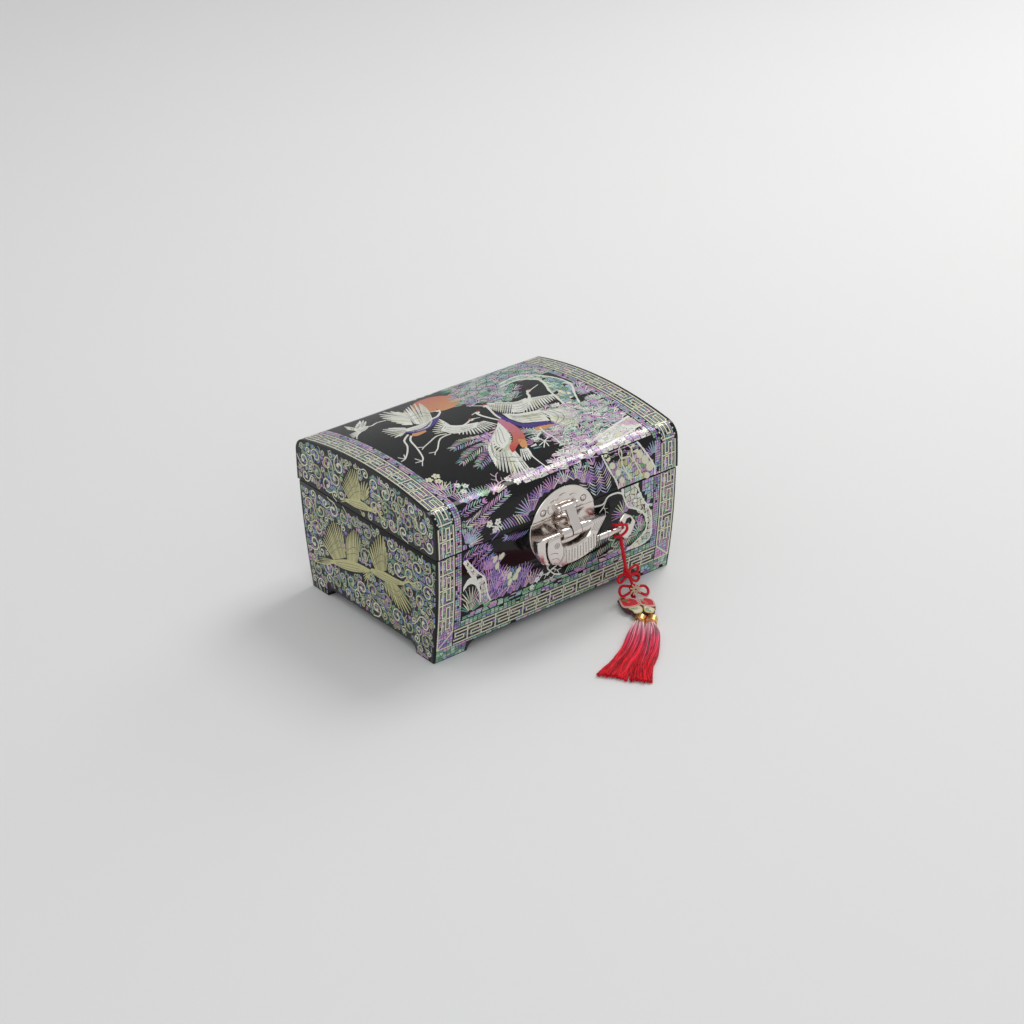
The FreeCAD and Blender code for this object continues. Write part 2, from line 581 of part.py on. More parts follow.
def hasp_parts(pieces):
    """Boss and lugs on the upper plate, the T-headed hasp between them, and the pin it swings on."""
    pivot_y = BOLT_Y + HASP_SETBACK
    pivot_z = BOLT_HEIGHT + HASP_RISE
    plate_front = -PLATE_FRONT
    boss_front = plate_front - BOSS
    lobes = None
    for offset, rise in ((-BOSS_SPREAD, 0), (BOSS_SPREAD, 0), (0, BOSS_LOBE_RADIUS / 2)):
        at = V(lock_x(offset), boss_front, pivot_z + rise)
        lobe = Part.makeCylinder(BOSS_LOBE_RADIUS, BOSS, at, V(0, 1, 0))
        lobes = lobe if lobes is None else lobes.fuse(lobe)
    plate = bowed_block(LENGTH, -LID_OVERHANG - BEDDING * 2 - PLATE, 0, CREASE_HEIGHT)
    boss = lobes.common(block((-LENGTH, LENGTH), (-LENGTH, 0), (LID_BOTTOM + SEAM_GAP, CROWN_HEIGHT)))
    pin_hole = rod_x(HASP_PIN_RADIUS + RUNNING_FIT, -LENGTH, LENGTH, pivot_y, pivot_z)
    for side in (-1, 1):
        near_x = HASP_HEAD_HALF + LUG_GAP
        x = sorted((lock_x(side * near_x), lock_x(side * (near_x + LUG))))
        z = (pivot_z - HASP_HEAD_RADIUS, pivot_z + HASP_HEAD_RADIUS)
        lug = block(x, (pivot_y, boss_front + BOSS / 2), z)
        boss = boss.fuse([lug, rod_x(HASP_HEAD_RADIUS, x[0], x[1], pivot_y, pivot_z)])
    pieces["hasp_boss"] = boss.cut(pin_hole).cut(plate).removeSplitter()
    reach = HASP_HEAD_HALF + LUG_GAP + LUG
    pin = rod_x(HASP_PIN_RADIUS, lock_x(-reach), lock_x(reach), pivot_y, pivot_z)
    pieces["hasp_pin"] = pin
    head = rod_x(HASP_HEAD_RADIUS, lock_x(-HASP_HEAD_HALF), lock_x(HASP_HEAD_HALF), pivot_y, pivot_z)
    eye = rod_x(STAPLE_RADIUS, lock_x(HASP_EYE[0]), lock_x(HASP_EYE[1]), BOLT_Y, BOLT_HEIGHT)
    strap = along_x(hasp_strap(pivot_y, pivot_z), lock_x(HASP_EYE[0]), lock_x(HASP_EYE[1]))
    bolt_hole = rod_x(HASP_BORE, -LENGTH, LENGTH, BOLT_Y, BOLT_HEIGHT)
    pieces["hasp"] = head.fuse([eye, strap]).cut(bolt_hole).cut(pin_hole).removeSplitter()


def hasp_strap(pivot_y, pivot_z):
    """Section of the strap: a band along the common tangent in front of the hasp's head and its eye."""
    down = V(0, BOLT_Y - pivot_y, BOLT_HEIGHT - pivot_z)
    length = down.Length
    lean = math.atan2(down.z, down.y) + math.asin((STAPLE_RADIUS - HASP_HEAD_RADIUS) / length)
    front = V(0, math.sin(lean), -math.cos(lean))
    if front.y > 0:
        front = front * -1
    top = V(0, pivot_y, pivot_z) + front * HASP_HEAD_RADIUS
    foot = V(0, BOLT_Y, BOLT_HEIGHT) + front * STAPLE_RADIUS
    return closed_face(top, foot, foot - front * HASP_THICKNESS, top - front * HASP_THICKNESS)


def staples(pieces):
    """Two round eyes on the lower plate that hold the padlock's bolt."""
    plate = bowed_block(LENGTH, -BEDDING * 2 - PLATE, 0, SEAM_HEIGHT)
    bore = rod_x(BOLT_RADIUS + BOLT_FIT, -LENGTH, LENGTH, BOLT_Y, BOLT_HEIGHT)
    solids = []
    for span in (LEFT_STAPLE, RIGHT_STAPLE):
        x = (lock_x(span[0]), lock_x(span[1]))
        neck = block(x, (BOLT_Y, 0), (BOLT_HEIGHT - STAPLE_NECK / 2, BOLT_HEIGHT + STAPLE_NECK / 2))
        eye = rod_x(STAPLE_RADIUS, x[0], x[1], BOLT_Y, BOLT_HEIGHT)
        solids.append(eye.fuse(neck.cut(plate)).cut(bore).removeSplitter())
    pieces["lock_staples"] = Part.makeCompound(solids)


def lock_point(offset, above_bolt=None, above_key=None):
    """Point of the padlock's outline, counted from the bolt's or the key's axis."""
    height = BOLT_HEIGHT + above_bolt if above_key is None else KEY_HEIGHT + above_key
    return V(lock_x(offset), 0, height)


def fish_outline():
    """Side view of the fish: blunt head on the left, curved belly, and a raised tail on the right."""
    return closed_face(
        lock_point(-26.6, above_bolt=1.4), lock_point(-15.2, above_bolt=1.4),
        (lock_point(-14.1, above_bolt=-5.2), lock_point(-10.8, above_key=6.4)),
        (lock_point(-0.8, above_key=5.0), lock_point(9.7, above_key=7.6)),
        (lock_point(13.9, above_bolt=-4.2), lock_point(15.2, above_bolt=3.0)),
        lock_point(18.7, above_bolt=4.0), lock_point(30.7, above_bolt=3.3),
        (lock_point(24.6, above_bolt=-4.6), lock_point(TAIL_FACE_X, above_key=4.8)),
        lock_point(TAIL_FACE_X, above_key=-3.6),
        (lock_point(7.6, above_key=-8.6), lock_point(-9.5, above_key=-9.4)),
        lock_point(-15.6, above_key=-10.2), lock_point(-17.6, above_key=-7.2),
        lock_point(-23.8, above_key=-5.0),
        (lock_point(-28.0, above_key=4.8), lock_point(-26.6, above_bolt=1.4)))


def end_plate_outline(right_shift=0.0, grow=0.0, heel=END_PLATE_HEEL):
    """Curved plate at the shackle's left end. Its right side follows the fish's head."""
    top = 2.2 + grow
    foot = -5.2 - grow
    right = right_shift + grow
    return closed_face(
        lock_point(-37.4 - grow, above_bolt=top),
        (lock_point(-36.0 - grow, above_key=6.0), lock_point(-29.3, above_key=foot + heel)),
        lock_point(-26.2 + right, above_key=foot),
        (lock_point(-29.4 + right, above_key=6.0), lock_point(END_PLATE_RIGHT + right, above_bolt=top)))


def padlock(pieces):
    """Hollow fish on a stub in the right staple, and the shackle whose bolt and spring arm slide in it."""
    fish = along_y(fish_outline(), FISH_FRONT, FISH_BACK)
    rim = edges_where(fish, lambda p: near(p.y, FISH_FRONT))
    rim += edges_where(fish, lambda p: near(p.y, FISH_BACK))
    fish = fish.makeChamfer(FISH_EDGE, rim)
    pocket_span = (FISH_FRONT + CHEEK, FISH_BACK - CHEEK)
    pocket_face = end_plate_outline(SHACKLE_TRAVEL, SHACKLE_CLEAR, heel=0.0)
    pocket = along_y(pocket_face, pocket_span[0], pocket_span[1])
    outside = lock_x(-PLATE_RADIUS * 2)
    pocket_end = END_PLATE_RIGHT + SHACKLE_TRAVEL + SHACKLE_CLEAR
    roof = block((outside, lock_x(pocket_end)), pocket_span,
                 (BOLT_HEIGHT - BOLT_RADIUS, BOLT_HEIGHT + FISH_THICKNESS))
    bolt_notch = rod_x(BOLT_RADIUS + SHACKLE_CLEAR, outside, lock_x(LEFT_STAPLE[1]), BOLT_Y, BOLT_HEIGHT)
    socket_end = lock_x(TAIL_FACE_X)
    head_x = lock_x(pocket_end) - CHANNEL_RADIUS
    channel = rod_x(CHANNEL_RADIUS, head_x, socket_end - SOCKET_LENGTH, BOLT_Y, KEY_HEIGHT)
    socket = rod_x(KEY_TUBE_RADIUS + BOLT_FIT, head_x, socket_end + 1, BOLT_Y, KEY_HEIGHT)
    fish = fish.cut([pocket, roof, bolt_notch, channel, socket])
    staple_end = lock_x(RIGHT_STAPLE[1])
    collar = rod_x(STUB_COLLAR_RADIUS, staple_end, lock_x(STUB_ROOT_X), BOLT_Y, BOLT_HEIGHT)
    stub = rod_x(BOLT_RADIUS, staple_end - STUB_LENGTH, lock_x(STUB_ROOT_X), BOLT_Y, BOLT_HEIGHT)
    pieces["fish_lock_body"] = fish.fuse([collar, stub]).removeSplitter()

    plate = along_y(end_plate_outline(), pocket_span[0] + END_PLATE_GAP, pocket_span[1] - END_PLATE_GAP)
    bolt_tip = lock_x(LEFT_STAPLE[1]) - SHACKLE_CLEAR
    root = lock_x(SHACKLE_ROOT_X)
    bolt = rod_x(BOLT_RADIUS, root, bolt_tip, BOLT_Y, BOLT_HEIGHT)
    half = ARM / 2
    arm = block((root, lock_x(ARM_TIP_X)), (BOLT_Y - half, BOLT_Y + half),
                (KEY_HEIGHT - half, KEY_HEIGHT + half))
    pieces["lock_shackle"] = plate.fuse([bolt, arm]).removeSplitter()
    springs = []
    for side in (-1, 1):
        z = sorted((KEY_HEIGHT + side * half, KEY_HEIGHT + side * (half + SPRING)))
        springs.append(block((lock_x(ARM_TIP_X - SPRING_LENGTH), lock_x(ARM_TIP_X)),
                             (BOLT_Y - SPRING_WIDTH / 2, BOLT_Y + SPRING_WIDTH / 2), z))
    pieces["lock_springs"] = Part.makeCompound(springs)


def key_parts(pieces):
    """Push key: a hollow end that presses the springs, a turned stem, a collar and a pierced bow."""
    shoulder = lock_x(TAIL_FACE_X) + SHACKLE_CLEAR
    collar_x = lock_x(KEY_COLLAR_X)
    tip = lock_x(KEY_TIP_X)
    tube = rod_x(KEY_TUBE_RADIUS, lock_x(KEY_TUBE_TIP_X), shoulder, BOLT_Y, KEY_HEIGHT)
    stem = rod_x(KEY_STEM_RADIUS, shoulder, collar_x, BOLT_Y, KEY_HEIGHT)
    at_collar = V(collar_x, BOLT_Y, KEY_HEIGHT)
    taper = Part.makeCone(KEY_STEM_RADIUS, KEY_TIP_RADIUS, tip - collar_x, at_collar, V(1, 0, 0))
    point = Part.makeSphere(KEY_TIP_RADIUS, V(tip, BOLT_Y, KEY_HEIGHT))
    bore = rod_x(KEY_TUBE_BORE, lock_x(KEY_TUBE_TIP_X) - 1, shoulder - KEY_BORE_END, BOLT_Y, KEY_HEIGHT)
    whole = tube.fuse([stem, taper, point]).cut(bore).removeSplitter()
    pieces["key_stem"] = whole
    ring_x = collar_x - COLLAR_WIDTH - GLUE_LINE
    ring = rod_x(COLLAR_RADIUS, ring_x, ring_x + COLLAR_WIDTH, BOLT_Y, KEY_HEIGHT)
    hole = rod_x(KEY_STEM_RADIUS + SCREW_GAP, ring_x - 1, ring_x + COLLAR_WIDTH + 1, BOLT_Y, KEY_HEIGHT)
    pieces["key_collar"] = ring.cut(hole)
    outline = closed_face(
        lock_point(51.8, above_key=12.4), lock_point(58.2, above_key=8.4), lock_point(63.0, above_key=1.6),
        lock_point(58.4, above_key=-7.8), lock_point(53.8, above_key=-10.8),
        (lock_point(45.4, above_key=2.2), lock_point(51.8, above_key=12.4)))
    bow = along_y(outline, BOLT_Y - BOW_PLATE / 2, BOLT_Y + BOW_PLATE / 2)
    faces = (BOLT_Y - BOW_PLATE / 2, BOLT_Y + BOW_PLATE / 2)
    rim = edges_where(bow, lambda p: near(p.y, faces[0])) + edges_where(bow, lambda p: near(p.y, faces[1]))
    bow = bow.makeChamfer(BOW_EDGE, rim)
    centre = lock_point(55.4, above_key=4.4)
    corners = [V(centre.x + BOW_HOLE_RADIUS * math.cos(math.radians(60 * n)), 0,
                 centre.z + BOW_HOLE_RADIUS * math.sin(math.radians(60 * n))) for n in range(6)]
    hexagon = along_y(closed_face(*corners), faces[0] - 1, faces[1] + 1)
    pieces["key_bow"] = bow.cut(hexagon).cut(whole)


def by_key(x, y, z):
    """Point of the hanging ornament, counted from under the lock's middle, in the key's plane."""
    return V(lock_x(x), BOLT_Y + y, z)


def at_key(x, y, above_key):
    """Point beside the key, counted from the lock's middle and the key's axis."""
    return by_key(x, y, KEY_HEIGHT + above_key)


def cord_tube(name, points, diameter):
    """Round cord along straight runs joined by arcs as large as the two runs allow."""
    edges = []
    radii = []
    here = points[0]
    for before, corner, after in zip(points, points[1:], points[2:]):
        arriving = (corner - before).normalize()
        leaving = (after - corner).normalize()
        half_turn = arriving.getAngle(leaving) / 2
        reach = 0.45 * min(corner.distanceToPoint(before), corner.distanceToPoint(after))
        radius = reach / math.tan(half_turn)
        inward = (leaving - arriving).normalize()
        start = corner - arriving * reach
        end = corner + leaving * reach
        middle = corner + inward * (radius / math.cos(half_turn) - radius)
        edges += [Part.LineSegment(here, start).toShape(), Part.Arc(start, middle, end).toShape()]
        radii.append(radius)
        here = end
    edges.append(Part.LineSegment(here, points[-1]).toShape())
    path = Part.Wire(edges)
    circle = Part.makeCircle(diameter / 2, points[0], (points[1] - points[0]).normalize())
    tube = path.makePipeShell([Part.Wire([circle])], True, False)
    ratio = tube.Volume / (path.Length * math.pi * diameter ** 2 / 4)
    print(name, "length", round(path.Length, 1), "volume ratio", round(ratio, 4),
          "radii", [round(r, 1) for r in radii])
    return tube


def knot_loop(core, centre, side, radius):
    """Loop of cord that leaves a knot, turns round a circle and comes back. side points across it."""
    along = centre - core
    reach = along.Length
    along = along.normalize()
    across = side - along * side.dot(along)
    across = across.normalize()
    apart = LOOP_CORD / 2 + GLUE_LINE
    lean = math.asin((radius - apart) / reach)
    shift = along * (radius * math.sin(lean))
    wide = across * (radius * math.cos(lean))
    first = centre - shift + wide
    last = centre - shift - wide
    start = core + across * apart
    path = Part.Wire([Part.LineSegment(start, first).toShape(),
                      Part.Arc(first, centre + along * radius, last).toShape(),
                      Part.LineSegment(last, core - across * apart).toShape()])
    circle = Part.makeCircle(LOOP_CORD / 2, start, (first - start).normalize())
    return path.makePipeShell([Part.Wire([circle])], True, False)


def link(start, end, radius, short_by=0.0):
    """Straight piece of cord between two points, stopping short of the second."""
    run = end - start
    return Part.makeCylinder(radius, run.Length - short_by, start, run)


def cords(pieces):
    """Loop round the key's tip and the doubled cord that hangs from it behind the bow."""
    loop = [at_key(48.0, 3.4, -3.3), at_key(44.2, 3.2, -4.1), at_key(41.2, 0.4, -4.8),
            at_key(42.6, -3.2, -4.6), at_key(47.6, -4.2, -3.2), at_key(52.0, -3.9, -0.6),
            at_key(51.0, -3.9, 4.2), at_key(46.2, -4.2, 5.7), at_key(41.6, -2.6, 6.2),
            at_key(40.6, 1.4, 5.2), at_key(43.8, 4.0, 3.4), at_key(47.5, 4.2, 1.2)]
    pieces["cord_loop"] = cord_tube("cord_loop", loop, LOOP_CORD)
    hanging = [at_key(49.9, 3.6, 1.4), at_key(50.6, 3.2, -10.2), by_key(52.6, 0.8, 40.0), UPPER_KNOT_TOP]
    pieces["tassel_cord"] = cord_tube("tassel_cord", hanging, CORD)


def knots(pieces):
    """Upper knot with three loops, lower knot with two, the flower on it, and the knot above the charm."""
    low = UPPER_KNOT_TOP + V(3.9, 0, -8.4)
    high = UPPER_KNOT_TOP + V(0.6, 0, -KNOT_RADIUS - PAD_GAP)
    core = Part.makeSphere(KNOT_RADIUS, high).fuse(
        [Part.makeSphere(KNOT_RADIUS, low), link(high, low, KNOT_RADIUS)])
    middle = (high + low) * 0.5
    loops = [knot_loop(middle, by_key(63.0, 0, 26.3), V(0, 0, 1), 3.5),
             knot_loop(middle, by_key(48.2, 0, 22.6), V(0, 0, 1), 3.1),
             knot_loop(low, by_key(65.8, 1.0, 17.2), V(0, 0, 1), 3.0)]
    centre = LOWER_KNOT
    neck = link(low, centre, LOOP_CORD / 2, LOWER_KNOT_RADIUS + GLUE_LINE)
    pieces["upper_knot"] = core.fuse(loops + [neck]).removeSplitter()
    loops = [knot_loop(centre, by_key(71.4, -2.4, 5.0), V(0.25, -0.6, -0.76), 3.8),
             knot_loop(centre, by_key(49.8, -1.2, 11.6), V(-0.3, -0.3, -0.9), 4.1)]
    body = Part.makeSphere(LOWER_KNOT_RADIUS, centre, V(0, 1, 0))
    pieces["lower_knot"] = body.fuse(loops).removeSplitter()

    facing = V(-0.3, -0.9, 0.3).normalize()
    corners = []
    for number in range(2 * FLOWER_SPOKES):
        angle = math.pi * number / FLOWER_SPOKES
        radius = FLOWER_RADIUS if number % 2 == 0 else FLOWER_WAIST
        corners.append(V(radius * math.cos(angle), radius * math.sin(angle), 0))
    flower = closed_face(*corners).extrude(V(0, 0, FLOWER_THICKNESS))
    seat = centre + facing * (LOWER_KNOT_RADIUS + GLUE_LINE)
    flower.Placement = FreeCAD.Placement(seat, FreeCAD.Rotation(V(0, 0, 1), facing))
    pieces["knot_flower"] = flower.cut(pieces["lower_knot"])

    bead = by_key(61.2, -0.2, CHARM_KNOT_RADIUS + PAD_GAP)
    notch = by_key(56.8, -8.6, CHARM_BASE / 2)
    strings = [link(bead, notch, THREAD / 2, THREAD / 2),
               link(bead, centre, THREAD / 2, LOWER_KNOT_RADIUS + GLUE_LINE)]
    pieces["charm_knot"] = Part.makeSphere(CHARM_KNOT_RADIUS, bead).fuse(strings)


def table_face(points):
    """Face on the table inside points and arcs given beside the key."""
    def lift(p):
        return by_key(p[0], p[1], 0)
    moves = [(lift(p[0]), lift(p[1])) if isinstance(p[0], tuple) else lift(p) for p in points]
    return closed_face(*moves)


def padded(outline, low, height):
    """Pad over an outline on the table, widest at its middle and drawn in above and below."""
    sections = []
    for rise, drawn_in in ((0, CHARM_DRAWN_IN), (height / 2, 0), (height, CHARM_DRAWN_IN)):
        section = outline.copy()
        section.scale(1 - 2 * drawn_in / section.BoundBox.DiagonalLength, section.BoundBox.Center)
        section.translate(V(0, 0, low + rise))
        sections.append(section)
    return Part.makeLoft(sections, True, True)


def charm(pieces):
    """Butterfly of padded cloth: a dark base with four embroidered wings on it."""
    base = table_face([(44.4, 0.4), ((47.6, 2.0), (50.0, 0.6)), (56.8, -8.6), ((60.4, -11.2), (63.0, -10.6)),
                       ((66.2, -16.6), (65.2, -22.2)), (59.6, -29.0), (57.2, -31.0),
                       ((53.6, -34.6), (50.4, -35.2)), (47.4, -29.0), (39.6, -27.0),
                       ((39.0, -24.0), (40.8, -21.0)), ((38.4, -17.4), (38.8, -13.5))])
    pieces["charm_base"] = padded(base.OuterWire, 0, CHARM_BASE)
    wings = [[(45.4, -0.8), ((47.8, 0.8), (49.6, -0.4)), (55.8, -9.2), (52.0, -18.8), (40.0, -13.6)],
             [(57.6, -10.0), ((60.6, -12.4), (62.4, -11.8)), ((65.2, -16.8), (64.2, -21.8)), (59.6, -27.6),
              (53.2, -19.6)],
             [(41.6, -17.0), (42.0, -21.2), (40.8, -26.2), (46.4, -27.6), (51.4, -20.2)],
             [(53.6, -21.4), (57.0, -29.8), ((53.4, -33.4), (50.8, -34.0)), (48.4, -28.8)]]
    solids = [padded(table_face(outline).OuterWire, CHARM_BASE, CHARM_TOP) for outline in wings]
    pieces["charm_wings"] = Part.makeCompound(solids)


def tassels(pieces):
    """Two metal caps side by side and the two bundles of thread that fan out of them over the table."""
    lie = V(-0.77, -0.64, 0).normalize()
    beside = V(lie.y, -lie.x, 0) * -1
    middle = by_key(40.8, -38.5, CAP_RADIUS)
    bead = by_key(45.7, -31.7, THREAD_BEAD_RADIUS + PAD_GAP)
    strings = [link(bead, by_key(47.4, -29.0, CHARM_BASE / 2), THREAD / 2, THREAD / 2)]
    for name, side in (("left", -1), ("right", 1)):
        centre = middle + beside * (side * CAP_SPACING / 2)
        top = centre - lie * (CAP_LENGTH / 2)
        cap = Part.makeCylinder(CAP_RADIUS, CAP_LENGTH, top, lie)
        rim = [e for e in cap.Edges if e.Closed and near(e.CenterOfMass.distanceToPoint(top), 0)]
        pieces[name + "_tassel_cap"] = cap.makeFillet(CAP_ROUND, rim)
        strings.append(link(bead, top, THREAD / 2, THREAD))
        edge = FAN_LEFT if side < 0 else FAN_RIGHT
        sections = []
        for outer, inner, height in zip(edge, FAN_MIDDLE, FAN_HEIGHTS):
            far = by_key(outer[0], outer[1], 0)
            close = by_key(inner[0], inner[1], 0)
            close = close + (far - close).normalize() * PAD_GAP / 2
            sections.append(thread_section(far, close, height))
        mouth = centre + lie * (CAP_LENGTH / 2 + GLUE_LINE)
        mouth.z = 0
        half = beside * (side * (CAP_RADIUS - CAP_WALL))
        sections.insert(0, thread_section(mouth + half, mouth - half, 2 * (CAP_RADIUS - CAP_WALL)))
        pieces[name + "_tassel"] = Part.makeLoft(sections, True, False)
    pieces["tassel_bead"] = Part.makeSphere(THREAD_BEAD_RADIUS, bead).fuse(strings).removeSplitter()


def thread_section(far, close, height):
    """Closed outline across a bundle of thread that lies on the table."""
    up = V(0, 0, height)
    shoulder = up * FAN_SHOULDER
    crown = (far + close) * 0.5 + up
    return Part.Wire([Part.LineSegment(far, close).toShape(),
                      Part.LineSegment(close, close + shoulder).toShape(),
                      Part.Arc(close + shoulder, crown, far + shoulder).toShape(),
                      Part.LineSegment(far + shoulder, far).toShape()])


def build():
    """All pieces by name, in the frame of the case: origin on the table under its middle."""
    pieces = {}
    case_boards(pieces)
    case_lining(pieces)
    lid_boards(pieces)
    lid_lining(pieces)
    tray(pieces)
    hinges(pieces)
    lock_plates(pieces)
    hasp_parts(pieces)
    staples(pieces)
    padlock(pieces)
    key_parts(pieces)
    cords(pieces)
    knots(pieces)
    charm(pieces)
    tassels(pieces)
    return pieces


# The origin is on the table, under the middle of the case with its hinges and its padlock
FRAME_Y = (-FISH_FRONT - (HINGE_Y + BARREL_RADIUS)) / 2

os.makedirs("parts", exist_ok=True)
for name, shape in build().items():
    moved = shape.copy()
    moved.translate(V(0, FRAME_Y, 0))
    moved.exportStep("parts/" + name + ".step")
    state = "valid" if moved.isValid() else "BAD"
    print(name, len(moved.Solids), "solids", round(moved.Volume, 1), "mm3", state)
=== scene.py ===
"""Lacquered jewelry box with mother of pearl inlay, a fish padlock and a silk ornament."""

import math
import random

import bmesh
import bpy
from mathutils import Matrix, Vector


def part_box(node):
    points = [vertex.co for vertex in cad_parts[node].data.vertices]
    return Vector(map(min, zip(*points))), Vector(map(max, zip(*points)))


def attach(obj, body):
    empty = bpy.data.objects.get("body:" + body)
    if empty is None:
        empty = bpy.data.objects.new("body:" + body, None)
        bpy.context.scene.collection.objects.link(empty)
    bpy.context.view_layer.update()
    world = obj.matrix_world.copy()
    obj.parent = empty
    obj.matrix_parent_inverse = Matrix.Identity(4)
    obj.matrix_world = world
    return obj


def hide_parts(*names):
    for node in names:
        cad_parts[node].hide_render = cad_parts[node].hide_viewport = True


bl_info = {
    "name": "Inlaid Jewelry Box",
    "version": (1, 0, 0),
    "blender": (4, 5, 0),
    "location": "View3D > Sidebar > Jewelry Box",
    "description": "Finishes a lacquered box with shell inlay, metal fittings, linings, cords and a stage",
    "category": "Object",
}

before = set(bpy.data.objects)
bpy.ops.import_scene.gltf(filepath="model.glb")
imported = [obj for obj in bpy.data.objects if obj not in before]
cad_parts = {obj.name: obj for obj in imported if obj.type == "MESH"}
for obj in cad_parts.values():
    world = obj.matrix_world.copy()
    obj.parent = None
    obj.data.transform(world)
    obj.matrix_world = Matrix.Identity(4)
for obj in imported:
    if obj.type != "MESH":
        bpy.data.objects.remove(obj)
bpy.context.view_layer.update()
MM = 0.001


def corners(node):
    """Lowest and highest corner of a CAD node, in millimetres."""
    low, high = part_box(node)
    return low / MM, high / MM


# Case, in millimetres. The drawing on each face is in millimetres too
FRONT_LOW, FRONT_HIGH = corners("front_board")
CASE_Y = (FRONT_LOW.y + corners("back_board")[1].y) / 2
SEAM_HALF = CASE_Y - FRONT_LOW.y
SEAM = FRONT_HIGH.z
HALF_LENGTH = corners("right_end_board")[1].x
LID_BOTTOM = corners("lid_front_rail")[0].z
LID_HALF = corners("lid_right_end")[1].x
CROWN = corners("lid_right_end")[1].z
OVERHANG = LID_HALF - HALF_LENGTH
BOW_RADIUS = 543.0
BOW_HEIGHT = 103.0
BOW_CENTRE = math.sqrt(BOW_RADIUS ** 2 - (SEAM - BOW_HEIGHT) ** 2) - SEAM_HALF
CREASE_HEIGHT = 130.0
CREASE_ROUND = 13.0
LID_RADIUS = BOW_RADIUS + OVERHANG
CREASE_Y = math.sqrt(LID_RADIUS ** 2 - (CREASE_HEIGHT - BOW_HEIGHT) ** 2) - BOW_CENTRE
ARCH_RISE = CROWN - CREASE_HEIGHT
ARCH_RADIUS = (CREASE_Y ** 2 + ARCH_RISE ** 2) / (2 * ARCH_RISE)


def round_centre():
    """Distance from the middle and height of the centre of the round between the apron and the top."""
    to_apron = LID_RADIUS - CREASE_ROUND
    to_arch = ARCH_RADIUS - CREASE_ROUND
    apart = Vector((BOW_CENTRE, CROWN - ARCH_RADIUS - BOW_HEIGHT))
    along = (to_apron ** 2 - to_arch ** 2 + apart.length_squared) / (2 * apart.length)
    across = math.sqrt(to_apron ** 2 - along ** 2)
    ahead = apart.normalized()
    return Vector((-BOW_CENTRE, BOW_HEIGHT)) + ahead * along + Vector((-ahead.y, ahead.x)) * across


ROUND_Y, ROUND_Z = round_centre()
APRON_LEAN = math.atan2(ROUND_Z - BOW_HEIGHT, ROUND_Y + BOW_CENTRE)
ARCH_LEAN = math.atan2(ROUND_Y, ROUND_Z - CROWN + ARCH_RADIUS)
CREASE_HALF = CREASE_ROUND * (math.pi / 2 - APRON_LEAN - ARCH_LEAN) / 2
TOP_LENGTH = 2 * (ARCH_RADIUS * ARCH_LEAN + CREASE_HALF)
FOOT_HEIGHT = 8.0
FRONT_FOOT = 32.0
FOOT_CURVE = 9.0
END_FOOT = 22.0
FOOT_INSET = 10.0

# Lock and ornament, in millimetres
FISH_LOW, FISH_HIGH = corners("fish_lock_body")
BOLT_Y = (FISH_LOW.y + FISH_HIGH.y) / 2
LOCK_X = (corners("hasp")[0].x + corners("hasp")[1].x) / 2
KEY_HEIGHT = (corners("key_collar")[0].z + corners("key_collar")[1].z) / 2
CORD = 2.8
LOOP_CORD = 2.2
THREAD = 1.8
KNOT_RADIUS = 2.8
LOWER_KNOT_RADIUS = 4.0

# How far an inlaid sliver stands over the lacquer, and how deep it sits
GROUND = 0.05
SHARD = 0.065
PICTURE = 0.08
LINE = 0.10
SINK = 0.22
ENGRAVED = 0.03

# How much a strip may bend before it takes another station, in millimetres times radians
BEND_STEP = 0.3

# Colours of shell as red, green, blue and how much they play in the light
CREAM = (0.74, 0.74, 0.54, 0.05)
WHITE = (0.82, 0.83, 0.76, 0.05)
SHADE = (0.20, 0.20, 0.15, 0.0)
STRAW = (0.60, 0.58, 0.32, 0.04)
OLIVE = (0.60, 0.57, 0.27, 0.02)
PINK = (0.70, 0.30, 0.62, 0.22)
ROSE = (0.80, 0.53, 0.66, 0.22)
LILAC = (0.50, 0.32, 0.74, 0.22)
VIOLET = (0.27, 0.13, 0.56, 0.20)
BLUE = (0.18, 0.30, 0.64, 0.20)
SKY = (0.38, 0.58, 0.72, 0.20)
TEAL = (0.07, 0.33, 0.29, 0.22)
GREEN = (0.16, 0.45, 0.20, 0.22)
MINT = (0.46, 0.70, 0.53, 0.20)
DARK = (0.02, 0.02, 0.03, 0.05)
INDIGO = (0.05, 0.025, 0.22, 0.0)
PINK_BELLY = (0.56, 0.20, 0.32, 0.0)
CORAL = (0.55, 0.14, 0.09, 0.0)
AMBER = (0.66, 0.31, 0.12, 0.0)
CROWN_RED = (0.55, 0.04, 0.04, 0.0)
SHELL = (PINK, ROSE, VIOLET, SKY, TEAL, GREEN, MINT)
BAND_TINTS = (ROSE, LILAC, MINT, PINK, SKY, VIOLET, GREEN)
GRASSY = (GREEN, MINT, TEAL, ROSE)
DUSKY = (DARK, VIOLET, TEAL, DARK, PINK, DARK, GREEN)
BORDER = (MINT, LILAC, SKY, TEAL, ROSE, BLUE, PINK)
GRASS = (VIOLET, PINK, LILAC, VIOLET, ROSE, BLUE, GREEN)
NEEDLES = (LILAC, ROSE, CREAM, VIOLET, PINK, WHITE, SKY, LILAC)


